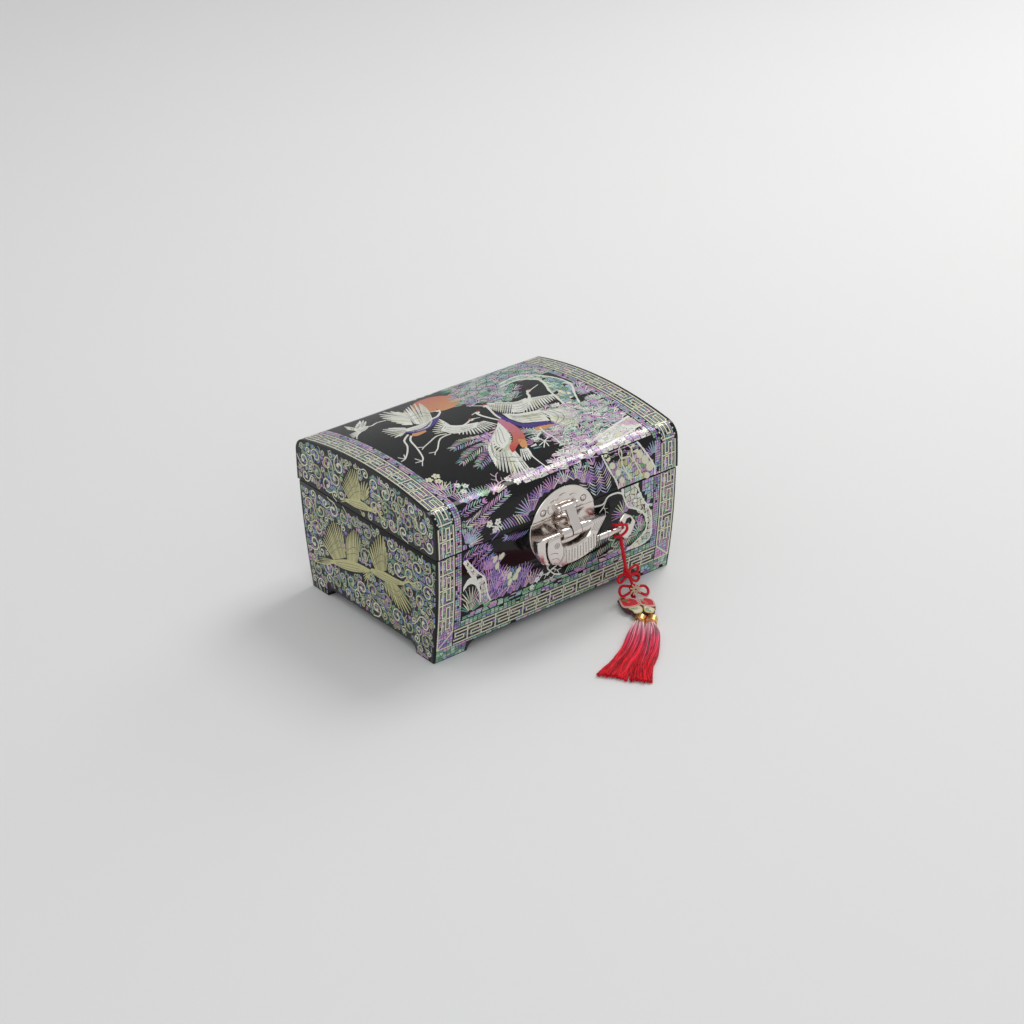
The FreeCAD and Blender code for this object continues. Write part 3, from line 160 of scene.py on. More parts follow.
class JewelryBoxSettings(bpy.types.PropertyGroup):
    """Finishes that can be changed before the pieces are made."""

    edge: bpy.props.FloatProperty(
        name="Board edge", description="Width of the eased edges of the boards",
        default=0.0005, min=0.0, unit="LENGTH")
    metal_edge: bpy.props.FloatProperty(
        name="Metal edge", description="Width of the eased edges of the fittings",
        default=0.00015, min=0.0, unit="LENGTH")
    lacquer: bpy.props.FloatVectorProperty(
        name="Lacquer", description="Colour of the lacquer", subtype="COLOR",
        default=(0.006, 0.006, 0.007), min=0.0, max=1.0)
    nickel: bpy.props.FloatVectorProperty(
        name="Nickel", description="Colour of the polished fittings", subtype="COLOR",
        default=(0.80, 0.74, 0.70), min=0.0, max=1.0)
    velvet: bpy.props.FloatVectorProperty(
        name="Velvet", description="Colour of the linings", subtype="COLOR",
        default=(0.20, 0.012, 0.035), min=0.0, max=1.0)
    silk: bpy.props.FloatVectorProperty(
        name="Silk", description="Colour of the cord and the tassels", subtype="COLOR",
        default=(0.72, 0.006, 0.02), min=0.0, max=1.0)
    threads: bpy.props.IntProperty(
        name="Threads", description="Threads in each tassel", default=320, min=20, max=1200)


class Socket:
    """Output of a shader node that takes part in plain arithmetic."""

    def __init__(self, finish, link):
        self.finish = finish
        self.link = link

    def maths(self, operation, first, second):
        node = self.finish.node("ShaderNodeMath", {"operation": operation}, {0: first, 1: second})
        return node["Value"]

    def __add__(self, other):
        return self.maths("ADD", self, other)

    def __radd__(self, other):
        return self.maths("ADD", other, self)

    def __sub__(self, other):
        return self.maths("SUBTRACT", self, other)

    def __rsub__(self, other):
        return self.maths("SUBTRACT", other, self)

    def __mul__(self, other):
        return self.maths("MULTIPLY", self, other)

    def __rmul__(self, other):
        return self.maths("MULTIPLY", other, self)


class Finish:
    """A material that is put together from Python expressions."""

    def __init__(self, name):
        self.material = bpy.data.materials.new(name)
        self.material.use_nodes = True
        self.material.node_tree.nodes.clear()

    def node(self, kind, settings=None, inputs=None):
        """Adds a node with its settings, then the values or links of its sockets."""
        node = self.material.node_tree.nodes.new(kind)
        for name, value in (settings or {}).items():
            if name == "stops":
                ramp = node.color_ramp
                while len(ramp.elements) < len(value):
                    ramp.elements.new(0.5)
                for element, (place, colour) in zip(ramp.elements, value):
                    element.position = place
                    element.color = (*colour[:3], 1)
            else:
                setattr(node, name, value)
        for name, value in (inputs or {}).items():
            if isinstance(value, Socket):
                self.material.node_tree.links.new(value.link, node.inputs[name])
            else:
                node.inputs[name].default_value = value
        return {output.name: Socket(self, output) for output in node.outputs if output.enabled}

    def place(self):
        """Coordinates of the piece itself."""
        return self.node("ShaderNodeTexCoord")["Object"]

    def noise(self, scale, detail=3.0, vector=None, distortion=0.0):
        """Cloudy pattern with a number of patches in a metre."""
        return self.node("ShaderNodeTexNoise", {}, {
            "Vector": vector or self.place(), "Scale": scale, "Detail": detail,
            "Distortion": distortion})["Fac"]

    def mix(self, factor, first, second, blend="MIX"):
        """Blends two colours."""
        node = self.node("ShaderNodeMix", {"data_type": "RGBA", "blend_type": blend},
                         {0: factor, 6: first, 7: second})
        return node["Result"]

    def bump(self, height, depth, strength=1.0):
        """Small relief whose full height is a depth in metres."""
        return self.node("ShaderNodeBump", {}, {
            "Height": height, "Distance": depth, "Strength": strength})["Normal"]

    def tint(self):
        """Colour that the piece carries for each of its faces."""
        return self.node("ShaderNodeAttribute", {"attribute_name": "tint"})

    def ramp(self, factor, *stops):
        """Colour that follows a factor through some stops."""
        return self.node("ShaderNodeValToRGB", {"stops": stops}, {"Fac": factor})["Color"]

    def surface(self, **sockets):
        """Principled surface. Underscores in the names stand for spaces."""
        inputs = {name.replace("_", " "): value for name, value in sockets.items()}
        shader = self.node("ShaderNodeBsdfPrincipled", {}, inputs)
        self.node("ShaderNodeOutputMaterial", {}, {"Surface": shader["BSDF"]})
        return self.material


def rgba(colour):
    """Colour with full alpha."""
    return (*colour[:3], 1)


def scaled(colour, share):
    """Colour made darker or lighter."""
    return tuple(part * share for part in colour)


def lacquer(colour):
    """Black lacquer polished to a gloss."""
    finish = Finish("black_lacquer")
    cloud = finish.noise(60, 2)
    return finish.surface(
        Base_Color=rgba(colour), Roughness=0.12 + cloud * 0.08, Coat_Weight=0.28,
        Coat_Roughness=0.03, Normal=finish.bump(finish.noise(420, 2), 0.00002, 0.2),
        Specular_IOR_Level=0.12)


def shell():
    """Mother of pearl: each sliver has its tint, and bands of other hues play over it."""
    finish = Finish("mother_of_pearl")
    tint = finish.tint()
    place = finish.place()
    play = finish.ramp(
        finish.noise(330, 2, place, 1.6),
        (0.28, (0.04, 0.34, 0.30)), (0.40, (0.16, 0.50, 0.20)), (0.47, (0.70, 0.72, 0.50)),
        (0.54, (0.72, 0.26, 0.52)), (0.62, (0.26, 0.10, 0.55)), (0.72, (0.08, 0.24, 0.60)))
    hue = finish.mix(tint["Alpha"], tint["Color"], play)
    grain = finish.noise(1400, 2, place)
    dulled = finish.ramp(grain, (0.35, (0.60, 0.60, 0.60)), (0.60, (1, 1, 1)))
    shaded = finish.mix(0.4, hue, dulled, "MULTIPLY")
    return finish.surface(
        Base_Color=shaded, Roughness=0.24 + grain * 0.2, Metallic=0.15, Coat_Weight=0.4,
        Coat_Roughness=0.04, Specular_IOR_Level=0.2)


def polished_metal(name, colour, roughness=0.12):
    """Polished metal with faint clouding and fine scratches."""
    finish = Finish(name)
    place = finish.place()
    cloud = finish.noise(90, 3, place)
    stretched = finish.node("ShaderNodeMapping", {"vector_type": "POINT"}, {
        "Vector": place, "Scale": (1.0, 0.2, 0.1)})["Vector"]
    scratches = finish.noise(2600, 2, stretched)
    dull = scaled(colour, 0.86)
    return finish.surface(
        Base_Color=finish.mix(cloud, rgba(dull), rgba(colour)), Metallic=1.0,
        Roughness=roughness + cloud * 0.08,
        Normal=finish.bump(scratches, 0.00001, 0.4))


def mirror_silver():
    """Silvered glass with a trace of haze."""
    finish = Finish("mirror_silver")
    return finish.surface(Base_Color=(0.92, 0.93, 0.93, 1), Metallic=1.0,
                          Roughness=0.01 + finish.noise(30, 2) * 0.02)


def velvet(name, colour):
    """Short pile with soft patches where it leans."""
    finish = Finish(name)
    place = finish.place()
    lean = finish.noise(70, 3, place)
    pile = finish.noise(5200, 2, place)
    light = tuple(min(1.0, part * 1.7 + 0.01) for part in colour)
    return finish.surface(
        Base_Color=finish.mix(lean, rgba(colour), rgba(light)), Roughness=0.85 + pile * 0.1,
        Sheen_Weight=0.6, Sheen_Roughness=0.4, Normal=finish.bump(pile, 0.00015, 0.6))


def silk_cord(name, colour, twist=900):
    """Silk cord with the slanting lines of its plies."""
    finish = Finish(name)
    place = finish.place()
    plies = finish.node("ShaderNodeTexWave", {"bands_direction": "DIAGONAL"}, {
        "Vector": place, "Scale": twist, "Distortion": 1.2, "Detail": 1.0})["Fac"]
    dark = scaled(colour, 0.55)
    return finish.surface(
        Base_Color=finish.mix(plies, rgba(dark), rgba(colour)), Roughness=0.46 + plies * 0.15,
        Specular_IOR_Level=0.25, Normal=finish.bump(plies, 0.00012, 0.7))


def cloth(name, colour, weave=2400):
    """Close woven cloth."""
    finish = Finish(name)
    place = finish.place()
    weft = finish.noise(weave, 1, place)
    patch = finish.noise(160, 2, place)
    dark = scaled(colour, 0.6)
    return finish.surface(
        Base_Color=finish.mix(patch, rgba(dark), rgba(colour)), Roughness=0.7 + weft * 0.2,
        Sheen_Weight=0.25, Normal=finish.bump(weft, 0.00012, 0.6))


def tassel_silk(colour):
    """Silk thread, painted pale near the cap for the light that falls on the tassel's top, and full colour
    towards its end.
    """
    finish = Finish("tassel_silk")
    along = finish.tint()
    speck = finish.noise(700, 2)
    # Painted light: pale near the cap, full colour further along the thread
    painted_light_fade = finish.ramp(
        along["Fac"] + (speck - 0.5) * 0.12,
        (0.0, (0.90, 0.62, 0.66)), (0.12, (0.84, 0.34, 0.42)), (0.30, (0.74, 0.07, 0.15)),
        (0.6, colour), (1.0, scaled(colour, 0.95)))
    light = finish.node("ShaderNodeCombineXYZ", {}, dict.fromkeys("XYZ", along["Alpha"]))
    return finish.surface(
        Base_Color=finish.mix(1.0, painted_light_fade, light["Vector"], "MULTIPLY"), Roughness=0.42 + speck * 0.12,
        Specular_IOR_Level=0.35)


def tinted(name, roughness=0.6):
    """Embroidery thread that takes its colour from the piece."""
    finish = Finish(name)
    tint = finish.tint()
    fibre = finish.noise(3000, 1)
    dulled = finish.ramp(fibre, (0.3, (0.5, 0.5, 0.5)), (0.7, (1, 1, 1)))
    shaded = finish.mix(0.4, tint["Color"], dulled, "MULTIPLY")
    return finish.surface(Base_Color=shaded, Roughness=roughness + fibre * 0.1,
                          Normal=finish.bump(fibre, 0.0001, 0.5))


def studio(name, colour):
    """Matt paint of the floor and the wall."""
    finish = Finish(name)
    cloud = finish.noise(3, 2)
    dark = scaled(colour, 0.985)
    return finish.surface(Base_Color=finish.mix(cloud, rgba(dark), rgba(colour)),
                          Roughness=0.75 + cloud * 0.05)


MAKERS = {
    "lacquer": lambda s: lacquer(s.lacquer),
    "shell": lambda s: shell(),
    "nickel": lambda s: polished_metal("polished_nickel", s.nickel),
    # Dark nickel for the fish's engraved lines, and for the painted shade rings round the upper nails
    "dark_lines_and_shade": lambda s: polished_metal("dark_nickel_lines_and_painted_shade", scaled(s.nickel, 0.2), 0.3),
    "steel": lambda s: polished_metal("spring_steel", (0.45, 0.46, 0.50), 0.22),
    "gold": lambda s: polished_metal("gold_cap", (0.85, 0.55, 0.20), 0.24),
    "gilt": lambda s: polished_metal("gilt_frame", (0.78, 0.56, 0.26), 0.28),
    "mirror": lambda s: mirror_silver(),
    "velvet": lambda s: velvet("velvet_lining", s.velvet),
    "padding": lambda s: velvet("padded_velvet", scaled(s.velvet, 1.15)),
    "ribbon": lambda s: cloth("satin_ribbon", scaled(s.velvet, 0.9)),
    "silk": lambda s: silk_cord("red_silk_cord", s.silk),
    "cream": lambda s: silk_cord("cream_thread", (0.82, 0.62, 0.44), 1800),
    "maroon": lambda s: cloth("maroon_cloth", (0.075, 0.008, 0.014)),
    "embroidery": lambda s: tinted("embroidery_thread"),
    "tassel": lambda s: tassel_silk(s.silk),
    "floor": lambda s: studio("studio_floor", (0.80, 0.80, 0.795)),
}
finishes = {}

# Clean-up of the copied nodes: the length in metres, the angles in degrees
MERGE_WITHIN = 0.000002
FLAT_WITHIN = 0.4
EASED_OVER = 40


def finish_named(name):
    """The material of that name, made when it is first needed."""
    if name not in finishes:
        finishes[name] = MAKERS[name](bpy.context.scene.jewelry_box)
    return finishes[name]


def select_only(piece):
    """Makes one object the selected and active one."""
    bpy.ops.object.select_all(action="DESELECT")
    piece.select_set(True)
    bpy.context.view_layer.objects.active = piece


def add_object(name, data):
    """New object in the scene."""
    piece = bpy.data.objects.new(name, data)
    bpy.context.scene.collection.objects.link(piece)
    return piece


def add_mesh(name, verts, faces, tints=None):
    """New object from points in metres and faces, with one colour for each face if given."""
    mesh = bpy.data.meshes.new(name)
    mesh.from_pydata(verts, [], faces)
    mesh.update()
    if tints:
        layer = mesh.color_attributes.new("tint", "FLOAT_COLOR", "CORNER")
        values = []
        for face, tint in zip(faces, tints):
            values.extend(tint * len(face))
        layer.data.foreach_set("color", values)
    return add_object(name, mesh)


def seat(piece, body, finish, nodes=(), angle=None):
    """Gives a piece its material and body, and hides the CAD nodes that it stands for."""
    piece.data.materials.clear()
    piece.data.materials.append(finish_named(finish))
    if angle is not None:
        select_only(piece)
        bpy.ops.object.shade_smooth_by_angle(angle=math.radians(angle))
    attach(piece, body)
    if nodes:
        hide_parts(*nodes)
    return piece


def merged_copy(node, suffix):
    """Copy of a CAD node with its points merged and its flat faces joined."""
    piece = add_object(node + suffix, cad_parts[node].data.copy())
    select_only(piece)
    bpy.ops.object.mode_set(mode="EDIT")
    bpy.ops.mesh.select_all(action="SELECT")
    bpy.ops.mesh.remove_doubles(threshold=MERGE_WITHIN)
    bpy.ops.mesh.dissolve_limited(angle_limit=math.radians(FLAT_WITHIN))
    bpy.ops.object.mode_set(mode="OBJECT")
    return piece


def apply_modifiers(piece):
    """Applies every modifier of a piece."""
    select_only(piece)
    for modifier in list(piece.modifiers):
        bpy.ops.object.modifier_apply(modifier=modifier.name)


def eased_copy(node, body, finish, edge=0.0, angle=28):
    """Copy of a rigid CAD node with eased edges, which stands for it."""
    piece = merged_copy(node, "_finished")
    if edge:
        bevel = piece.modifiers.new("eased", "BEVEL")
        bevel.width = edge
        bevel.segments = 2
        bevel.limit_method = "ANGLE"
        bevel.angle_limit = math.radians(EASED_OVER)
        bevel.use_clamp_overlap = True
        apply_modifiers(piece)
    return seat(piece, body, finish, (node,), angle)


def soft_copy(node, body, finish, voxel, puff=0.0, rounds=6):
    """Copy of a padded CAD node, remeshed, drawn in at its corners and smoothed."""
    piece = merged_copy(node, "_padded")
    remesh = piece.modifiers.new("cover", "REMESH")
    remesh.mode = "VOXEL"
    remesh.voxel_size = voxel
    soften = piece.modifiers.new("soften", "SMOOTH")
    soften.factor = 0.5
    soften.iterations = rounds
    if puff:
        swell = piece.modifiers.new("swell", "DISPLACE")
        swell.strength = puff
        swell.mid_level = 0.0
    apply_modifiers(piece)
    return seat(piece, body, finish, (node,), 60)


def bow_y(height, out=0.0):
    """Distance from the middle to the bowed face at a height."""
    return math.sqrt((BOW_RADIUS + out) ** 2 - (height - BOW_HEIGHT) ** 2) - BOW_CENTRE


def front_face(u, v):
    """Point and outward direction on the front: u to the right, v up."""
    lean = (v - BOW_HEIGHT) / BOW_RADIUS
    return Vector((u, CASE_Y - bow_y(v), v)), Vector((0, -math.sqrt(1 - lean * lean), lean))


def back_face(u, v):
    """Point and direction on the back, as seen from behind."""
    point, normal = front_face(-u, v)
    return Vector((point.x, 2 * CASE_Y - point.y, point.z)), Vector((0, -normal.y, normal.z))


def end_face(x):
    """Points and directions on the upright end at x, as seen from outside. u is 0 at its middle."""
    side = math.copysign(1, x)

    def place(u, v):
        return Vector((x, CASE_Y + side * u, v)), Vector((side, 0, 0))

    return place


def front_plane(y):
    """Points and directions on an upright plane that faces the front, counted from the lock's middle."""
    def place(x, z):
        return Vector((LOCK_X + x, y, z)), Vector((0, -1, 0))

    return place


def lid_face(u, v):
    """Point and direction on the lid: v is 0 on the front crease, more on the top, less on the apron."""
    if v > TOP_LENGTH / 2:
        point, normal = lid_face(u, TOP_LENGTH - v)
        return Vector((u, 2 * CASE_Y - point.y, point.z)), Vector((0, -normal.y, normal.z))
    if v > CREASE_HALF:
        angle = ARCH_LEAN - (v - CREASE_HALF) / ARCH_RADIUS
        normal = Vector((0, -math.sin(angle), math.cos(angle)))
        return Vector((u, CASE_Y, CROWN - ARCH_RADIUS)) + normal * ARCH_RADIUS, normal
    if v > -CREASE_HALF:
        angle = APRON_LEAN + (v + CREASE_HALF) / CREASE_ROUND
        normal = Vector((0, -math.cos(angle), math.sin(angle)))
        return Vector((u, CASE_Y - ROUND_Y, ROUND_Z)) + normal * CREASE_ROUND, normal
    lean = APRON_LEAN + (v + CREASE_HALF) / LID_RADIUS
    normal = Vector((0, -math.cos(lean), math.sin(lean)))
    return Vector((u, CASE_Y + BOW_CENTRE, BOW_HEIGHT)) + normal * LID_RADIUS, normal


def top_v(y):
    """Place up the lid's face of a distance behind the middle of the box."""
    return ARCH_RADIUS * (ARCH_LEAN + math.asin(y / ARCH_RADIUS)) + CREASE_HALF


def apron_v(height):
    """Place up the lid's face of a height on the front apron."""
    lean = math.asin((height - BOW_HEIGHT) / LID_RADIUS)
    return (lean - APRON_LEAN) * LID_RADIUS - CREASE_HALF


def top_face(u, v):
    """Point and direction on the lid's top: v is the distance behind the middle."""
    return lid_face(u, top_v(v))


def apron_face(u, v):
    """Point and direction on the lid's front apron: v is the height."""
    return lid_face(u, apron_v(v))


def back_apron_face(u, v):
    """Point and direction on the lid's back apron, as seen from behind."""
    return lid_face(-u, TOP_LENGTH - apron_v(v))


APRON_LOW = apron_v(LID_BOTTOM)


def shift(point, angle, distance):
    """Point at a distance in a direction, with the angle in degrees."""
    turn = math.radians(angle)
    return (point[0] + distance * math.cos(turn), point[1] + distance * math.sin(turn))


def between(start, end, share):
    """Point or colour at a share of the way from one to another."""
    return tuple(a + (b - a) * share for a, b in zip(start, end))


def limits(points):
    """Lowest and highest corner of some flat points."""
    return tuple(map(min, zip(*points))), tuple(map(max, zip(*points)))


def middle_of(points):
    """Mean of some flat points."""
    return tuple(sum(part) / len(points) for part in zip(*points))


def spread(line, count):
    """Points spaced evenly along a line."""
    gone = [0.0]
    for a, b in zip(line, line[1:]):
        gone.append(gone[-1] + math.dist(a, b))
    points = []
    here = 0
    for number in range(count):
        due = gone[-1] * number / (count - 1)
        while here < len(line) - 2 and gone[here + 1] < due:
            here += 1
        share = (due - gone[here]) / ((gone[here + 1] - gone[here]) or 1.0)
        points.append(between(line[here], line[here + 1], share))
    return points


def smooth(points, steps=4):
    """Curve through a few points, as a finer line of points."""
    line = []
    ends = [points[0]] + list(points) + [points[-1]]
    for a, b, c, d in zip(ends, ends[1:], ends[2:], ends[3:]):
        for step in range(steps):
            t = step / steps
            line.append(tuple(
                0.5 * (2 * q + (r - p) * t + (2 * p - 5 * q + 4 * r - s) * t * t
                       + (3 * q - p - 3 * r + s) * t ** 3)
                for p, q, r, s in zip(a, b, c, d)))
    return line + [tuple(points[-1])]


def inside(outline, point):
    """Whether a point lies inside an outline."""
    u, v = point
    odd = False
    for (a, b), (c, d) in zip(outline, outline[1:] + outline[:1]):
        if (b > v) != (d > v) and u < a + (v - b) * (c - a) / (d - b):
            odd = not odd
    return odd


class Inlay:
    """Thin slivers of shell set into one face of the box, each a closed solid."""

    def __init__(self, place, seed):
        self.place = place
        self.random = random.Random(seed)
        self.phase = seed
        self.verts = []
        self.faces = []
        self.tints = []

    def hue(self, u, v, tints, patch=5.0):
        """Colour at a place. The tints follow each other in soft patches, as across one sheet of shell."""
        wave = math.sin(u / patch + 2.1 * math.sin(v / patch * 0.7 + self.phase))
        wave += math.sin(v / patch * 1.3 + 1.7 * math.sin(u / patch * 0.6 + self.phase * 2))
        share = (wave + 2) / 4 * len(tints) + self.random.uniform(-0.6, 0.6)
        red, green, blue, play = tints[int(share) % len(tints)]
        light = self.random.uniform(0.72, 1.12)
        return (min(1, red * light), min(1, green * light), min(1, blue * light), play)

    def point(self, u, v, level):
        """Adds a point over or under the face."""
        at, normal = self.place(u, v)
        self.verts.append((at + normal * level) * MM)

    def slab(self, outline, tint, lift=SHARD):
        """Sliver with a convex outline, given anticlockwise."""
        first = len(self.verts)
        count = len(outline)
        for level in (lift, -SINK):
            for u, v in outline:
                self.point(u, v, level)
        self.faces.append(tuple(range(first, first + count)))
        self.faces.append(tuple(range(first + 2 * count - 1, first + count - 1, -1)))
        for here in range(count):
            after = (here + 1) % count
            self.faces.append((first + here, first + count + here, first + count + after, first + after))
        self.tints += [tint] * (count + 2)

    def strip(self, lefts, rights, tints, lift):
        """Strip between a left and a right edge, with a colour for each length of it."""
        lefts, rights, tints = self.refined(lefts, rights, tints)
        first = len(self.verts)
        last = len(lefts) - 1
        for left, right in zip(lefts, rights):
            self.point(*left, lift)
            self.point(*right, lift)
            self.point(*right, -SINK)
            self.point(*left, -SINK)
        for number in range(last):
            a = first + 4 * number
            b = a + 4
            for side in range(4):
                other = (side + 1) % 4
                self.faces.append((a + other, b + other, b + side, a + side))
                self.tints.append(tints[number])
        end = first + 4 * last
        self.faces.append((first + 3, first + 2, first + 1, first))
        self.faces.append((end, end + 1, end + 2, end + 3))
        self.tints += [tints[0], tints[-1]]

    def refined(self, lefts, rights, tints):
        """The same strip with more stations where the face turns."""
        points = [((a[0] + b[0]) / 2, (a[1] + b[1]) / 2) for a, b in zip(lefts, rights)]
        normals = [self.place(*p)[1] for p in points]
        new_lefts, new_rights, new_tints = [lefts[0]], [rights[0]], []
        for n in range(len(points) - 1):
            turn = normals[n].angle(normals[n + 1], 0.0)
            parts = max(1, math.ceil(math.sqrt(math.dist(points[n], points[n + 1]) * turn / BEND_STEP)))
            for part in range(1, parts + 1):
                for kept, line in ((new_lefts, lefts), (new_rights, rights)):
                    kept.append(tuple(a + (b - a) * part / parts for a, b in zip(line[n], line[n + 1])))
                new_tints.append(tints[n])
        return new_lefts, new_rights, new_tints

    def ribbon(self, points, widths, tint, lift=PICTURE):
        """Strip along a line of points, with its whole width at each."""
        lefts, rights = [], []
        last = len(points) - 1
        for number, (u, v) in enumerate(points):
            before = points[max(number - 1, 0)]
            after = points[min(number + 1, last)]
            du, dv = after[0] - before[0], after[1] - before[1]
            half = widths[number] / 2 / (math.hypot(du, dv) or 1.0)
            lefts.append((u - dv * half, v + du * half))
            rights.append((u + dv * half, v - du * half))
        self.strip(lefts, rights, [tint] * last, lift)

    def band(self, one, other, tint, end=None, lift=LINE, count=9):
        """Strip between two drawn edges. It can change colour on its way."""
        lefts = spread(smooth(one), count)
        rights = spread(smooth(other), count)
        here = count // 2
        du, dv = (lefts[here + 1][n] - lefts[here - 1][n] for n in (0, 1))
        if du * (rights[here][1] - lefts[here][1]) > dv * (rights[here][0] - lefts[here][0]):
            lefts, rights = rights, lefts
        tints = []
        for number in range(count - 1):
            tints.append(between(tint, end or tint, number / (count - 2)))
        self.strip(lefts, rights, tints, lift)

    def line(self, points, width, tint=CREAM, lift=LINE):
        """Strip of one width."""
        self.ribbon(points, [width] * len(points), tint, lift)

    def bar(self, start, end, width, tint=CREAM, lift=LINE):
        """Straight strip."""
        self.line((start, end), width, tint, lift)

    def leaf(self, start, angle, length, width, tints, curl=0.0, lift=PICTURE):
        """Pointed sliver that bends by some degrees on its way."""
        middle = shift(start, angle + curl / 4, length * 0.5)
        tip = shift(middle, angle + curl, length * 0.5)
        self.ribbon([start, middle, tip], [width * 0.5, width, width * 0.4], self.hue(*middle, tints), lift)

    def disc(self, centre, radius, tint, sides=8, lift=PICTURE, stretch=1.0, angle=0.0):
        """Round or oval sliver."""
        turn = math.radians(angle)
        outline = []
        for n in range(sides):
            a = radius * stretch * math.cos(2 * math.pi * n / sides)
            b = radius * math.sin(2 * math.pi * n / sides)
            outline.append((centre[0] + a * math.cos(turn) - b * math.sin(turn),
                            centre[1] + a * math.sin(turn) + b * math.cos(turn)))
        self.slab(outline, tint, lift)

    def mosaic(self, low, high, size, tints, within=None, keep=1.0, gap=0.14, wander=0.28, lift=GROUND,
               whole=False):
        """Shards that fill a rectangle, or the part of it that passes a test, by their middles or whole."""
        columns = max(1, round((high[0] - low[0]) / size[0]))
        rows = max(1, round((high[1] - low[1]) / size[1]))
        step_u = (high[0] - low[0]) / columns
        step_v = (high[1] - low[1]) / rows
        corner = {}
        for i in range(columns + 1):
            for j in range(rows + 1):
                du = self.random.uniform(-wander, wander) * step_u * (0 < i < columns)
                dv = self.random.uniform(-wander, wander) * step_v * (0 < j < rows)
                corner[i, j] = (low[0] + i * step_u + du, low[1] + j * step_v + dv)
        for i in range(columns):
            for j in range(rows):
                outline = [corner[i, j], corner[i + 1, j], corner[i + 1, j + 1], corner[i, j + 1]]
                middle = middle_of(outline)
                if self.random.random() > keep or (within and not within(middle)):
                    continue
                shrunk = [between(p, middle, gap) for p in outline]
                if whole and not all(map(within, shrunk)):
                    continue
                self.slab(shrunk, self.hue(*middle, tints), lift)

    def fill(self, outline, size, tints, holes=(), keep=0.96, gap=0.14, wander=0.4, lift=GROUND):
        """Shards inside an outline and outside some holes."""
        self.mosaic(*limits(outline), size, tints,
                    lambda p: inside(outline, p) and not any(inside(hole, p) for hole in holes),
                    keep, gap, wander, lift)

    def plumes(self, roots, tips, count, tint=WHITE, lift=PICTURE):
        """Row of feathers from one line to another: close at their roots and open at their tips."""
        starts = spread(smooth(roots), count)
        ends = spread(smooth(tips), count)
        tints = (tint, tint, CREAM) if tint is WHITE else (tint,)
        near = sum(map(math.dist, starts, starts[1:])) / (count - 1)
        far = sum(map(math.dist, ends, ends[1:])) / (count - 1)
        for start, end in zip(starts, ends):
            line = spread([start, end], 4)
            wide = [max(0.5, (near + (far - near) * share) * (0.84 - 0.36 * share))
                    for share in (0, 1 / 3, 2 / 3)]
            self.ribbon(line, wide + [wide[2] * 0.45], self.hue(*line[2], tints), lift)

    def piece(self, name, body, finish="shell", slot="lacquered_wood"):
        """The finished inlay as an object on a body."""
        made = add_mesh(name, self.verts, self.faces, self.tints)
        return seat(made, body, finish)


# Motifs of the inlay
FRET_CELL = 14.0
FRET_LINE = 1.2
SCROLL_TURN = 405
SCROLL_STEPS = 12
SCROLL_TRIES = ((7.4, 1600), (5.8, 1600), (4.4, 2000), (3.2, 2600), (2.3, 2600))
SCROLL_SPACING = 0.9
KNOT_SHARE = 0.16
BROAD_WING = 9
FRET_HOOK = ((0.08, 0.78), (0.88, 0.78), (0.88, 0.50), (0.26, 0.50), (0.26, 0.23), (0.96, 0.23))


def fret(art, start, along, length, width, tints, first=0):
    """Band of key fret between two lines. It runs along a direction, and its width is to the left."""
    across = (-along[1], along[0])

    def at(a, b):
        return (start[0] + along[0] * a + across[0] * b, start[1] + along[1] * a + across[1] * b)

    def bar(one, other):
        art.bar(at(*one), at(*other), FRET_LINE + 1.5, DARK, SHARD + 0.01)
        art.bar(at(*one), at(*other), FRET_LINE)

    half = FRET_LINE / 2
    for edge in (half, width - half):
        bar((0, edge), (length, edge))
    cells = max(1, round(length / FRET_CELL))
    cell = length / cells
    inner = width - 2 * FRET_LINE
    for number in range(cells):
        begin = number * cell
        if number:
            bar((begin, FRET_LINE), (begin, width - FRET_LINE))
        hook = [(begin + a * cell, FRET_LINE + b * inner) for a, b in FRET_HOOK]
        if (number + first) % 2:
            hook = [(2 * begin + cell - a, b) for a, b in hook]
        for (a, b), (c, d) in zip(hook, hook[1:]):
            if abs(b - d) < 1e-6:
                low, high = sorted((a, c))
                bar((low - half, b), (high + half, b))
            else:
                low, high = sorted((b, d))
                bar((a, low + half), (a, high - half))
    low, high = limits((at(0, FRET_LINE), at(length, width - FRET_LINE)))
    art.mosaic(low, high, (3.4, 2.2), tints, None, 0.95, 0.14)


def feathered(birds):
    """Outlines of the wings and bodies of some cranes, which other motifs keep clear of."""
    outlines = []
    for bird in birds:
        for roots, tips, _ in bird["plumes"]:
            outlines.append(smooth(roots) + smooth(tips)[::-1])
        for one, other, _, _ in bird["bands"]:
            outlines.append(smooth(one) + smooth(other)[::-1])
    return outlines


def spray(art, stem, length, tints, sides=(-1, 1), gap=2.5, lean=50, width=1.0):
    """Pine twig: needles in a row along a curved stem, and a tuft at its tip."""
    line = smooth(stem, 6)
    total = sum(map(math.dist, line, line[1:]))
    count = max(3, round(total / gap))
    points = spread(line, count)
    for number, at in enumerate(points):
        before, after = points[max(number - 1, 0)], points[min(number + 1, count - 1)]
        heading = math.degrees(math.atan2(after[1] - before[1], after[0] - before[0]))
        reach = length * (0.65 + 0.35 * math.sin(math.pi * min(1, number / count + 0.2)))
        for side in sides:
            art.leaf(shift(at, heading + 90 * side, 0.3),
                     heading + side * (lean + art.random.uniform(-3, 3)),
                     reach * art.random.uniform(0.9, 1.05), width, tints, -side * 10,
                     PICTURE + 0.01 * (number % 2))
    for number in range(-1, 2):
        art.leaf(line[-1], heading + number * lean / 1.6, length * 0.8, width, tints)


def fan(art, centre, angle, spread_angle, length, count, tints, width=0.95, lift=PICTURE):
    """Needles that stand out from one point."""
    for number in range(count):
        share = number / (count - 1) - 0.5
        turn = angle + spread_angle * share
        art.leaf(shift(centre, turn, length * 0.2), turn, length * art.random.uniform(0.74, 0.86), width,
                 tints,
                 share * 16, lift + 0.01 * (number % 2))


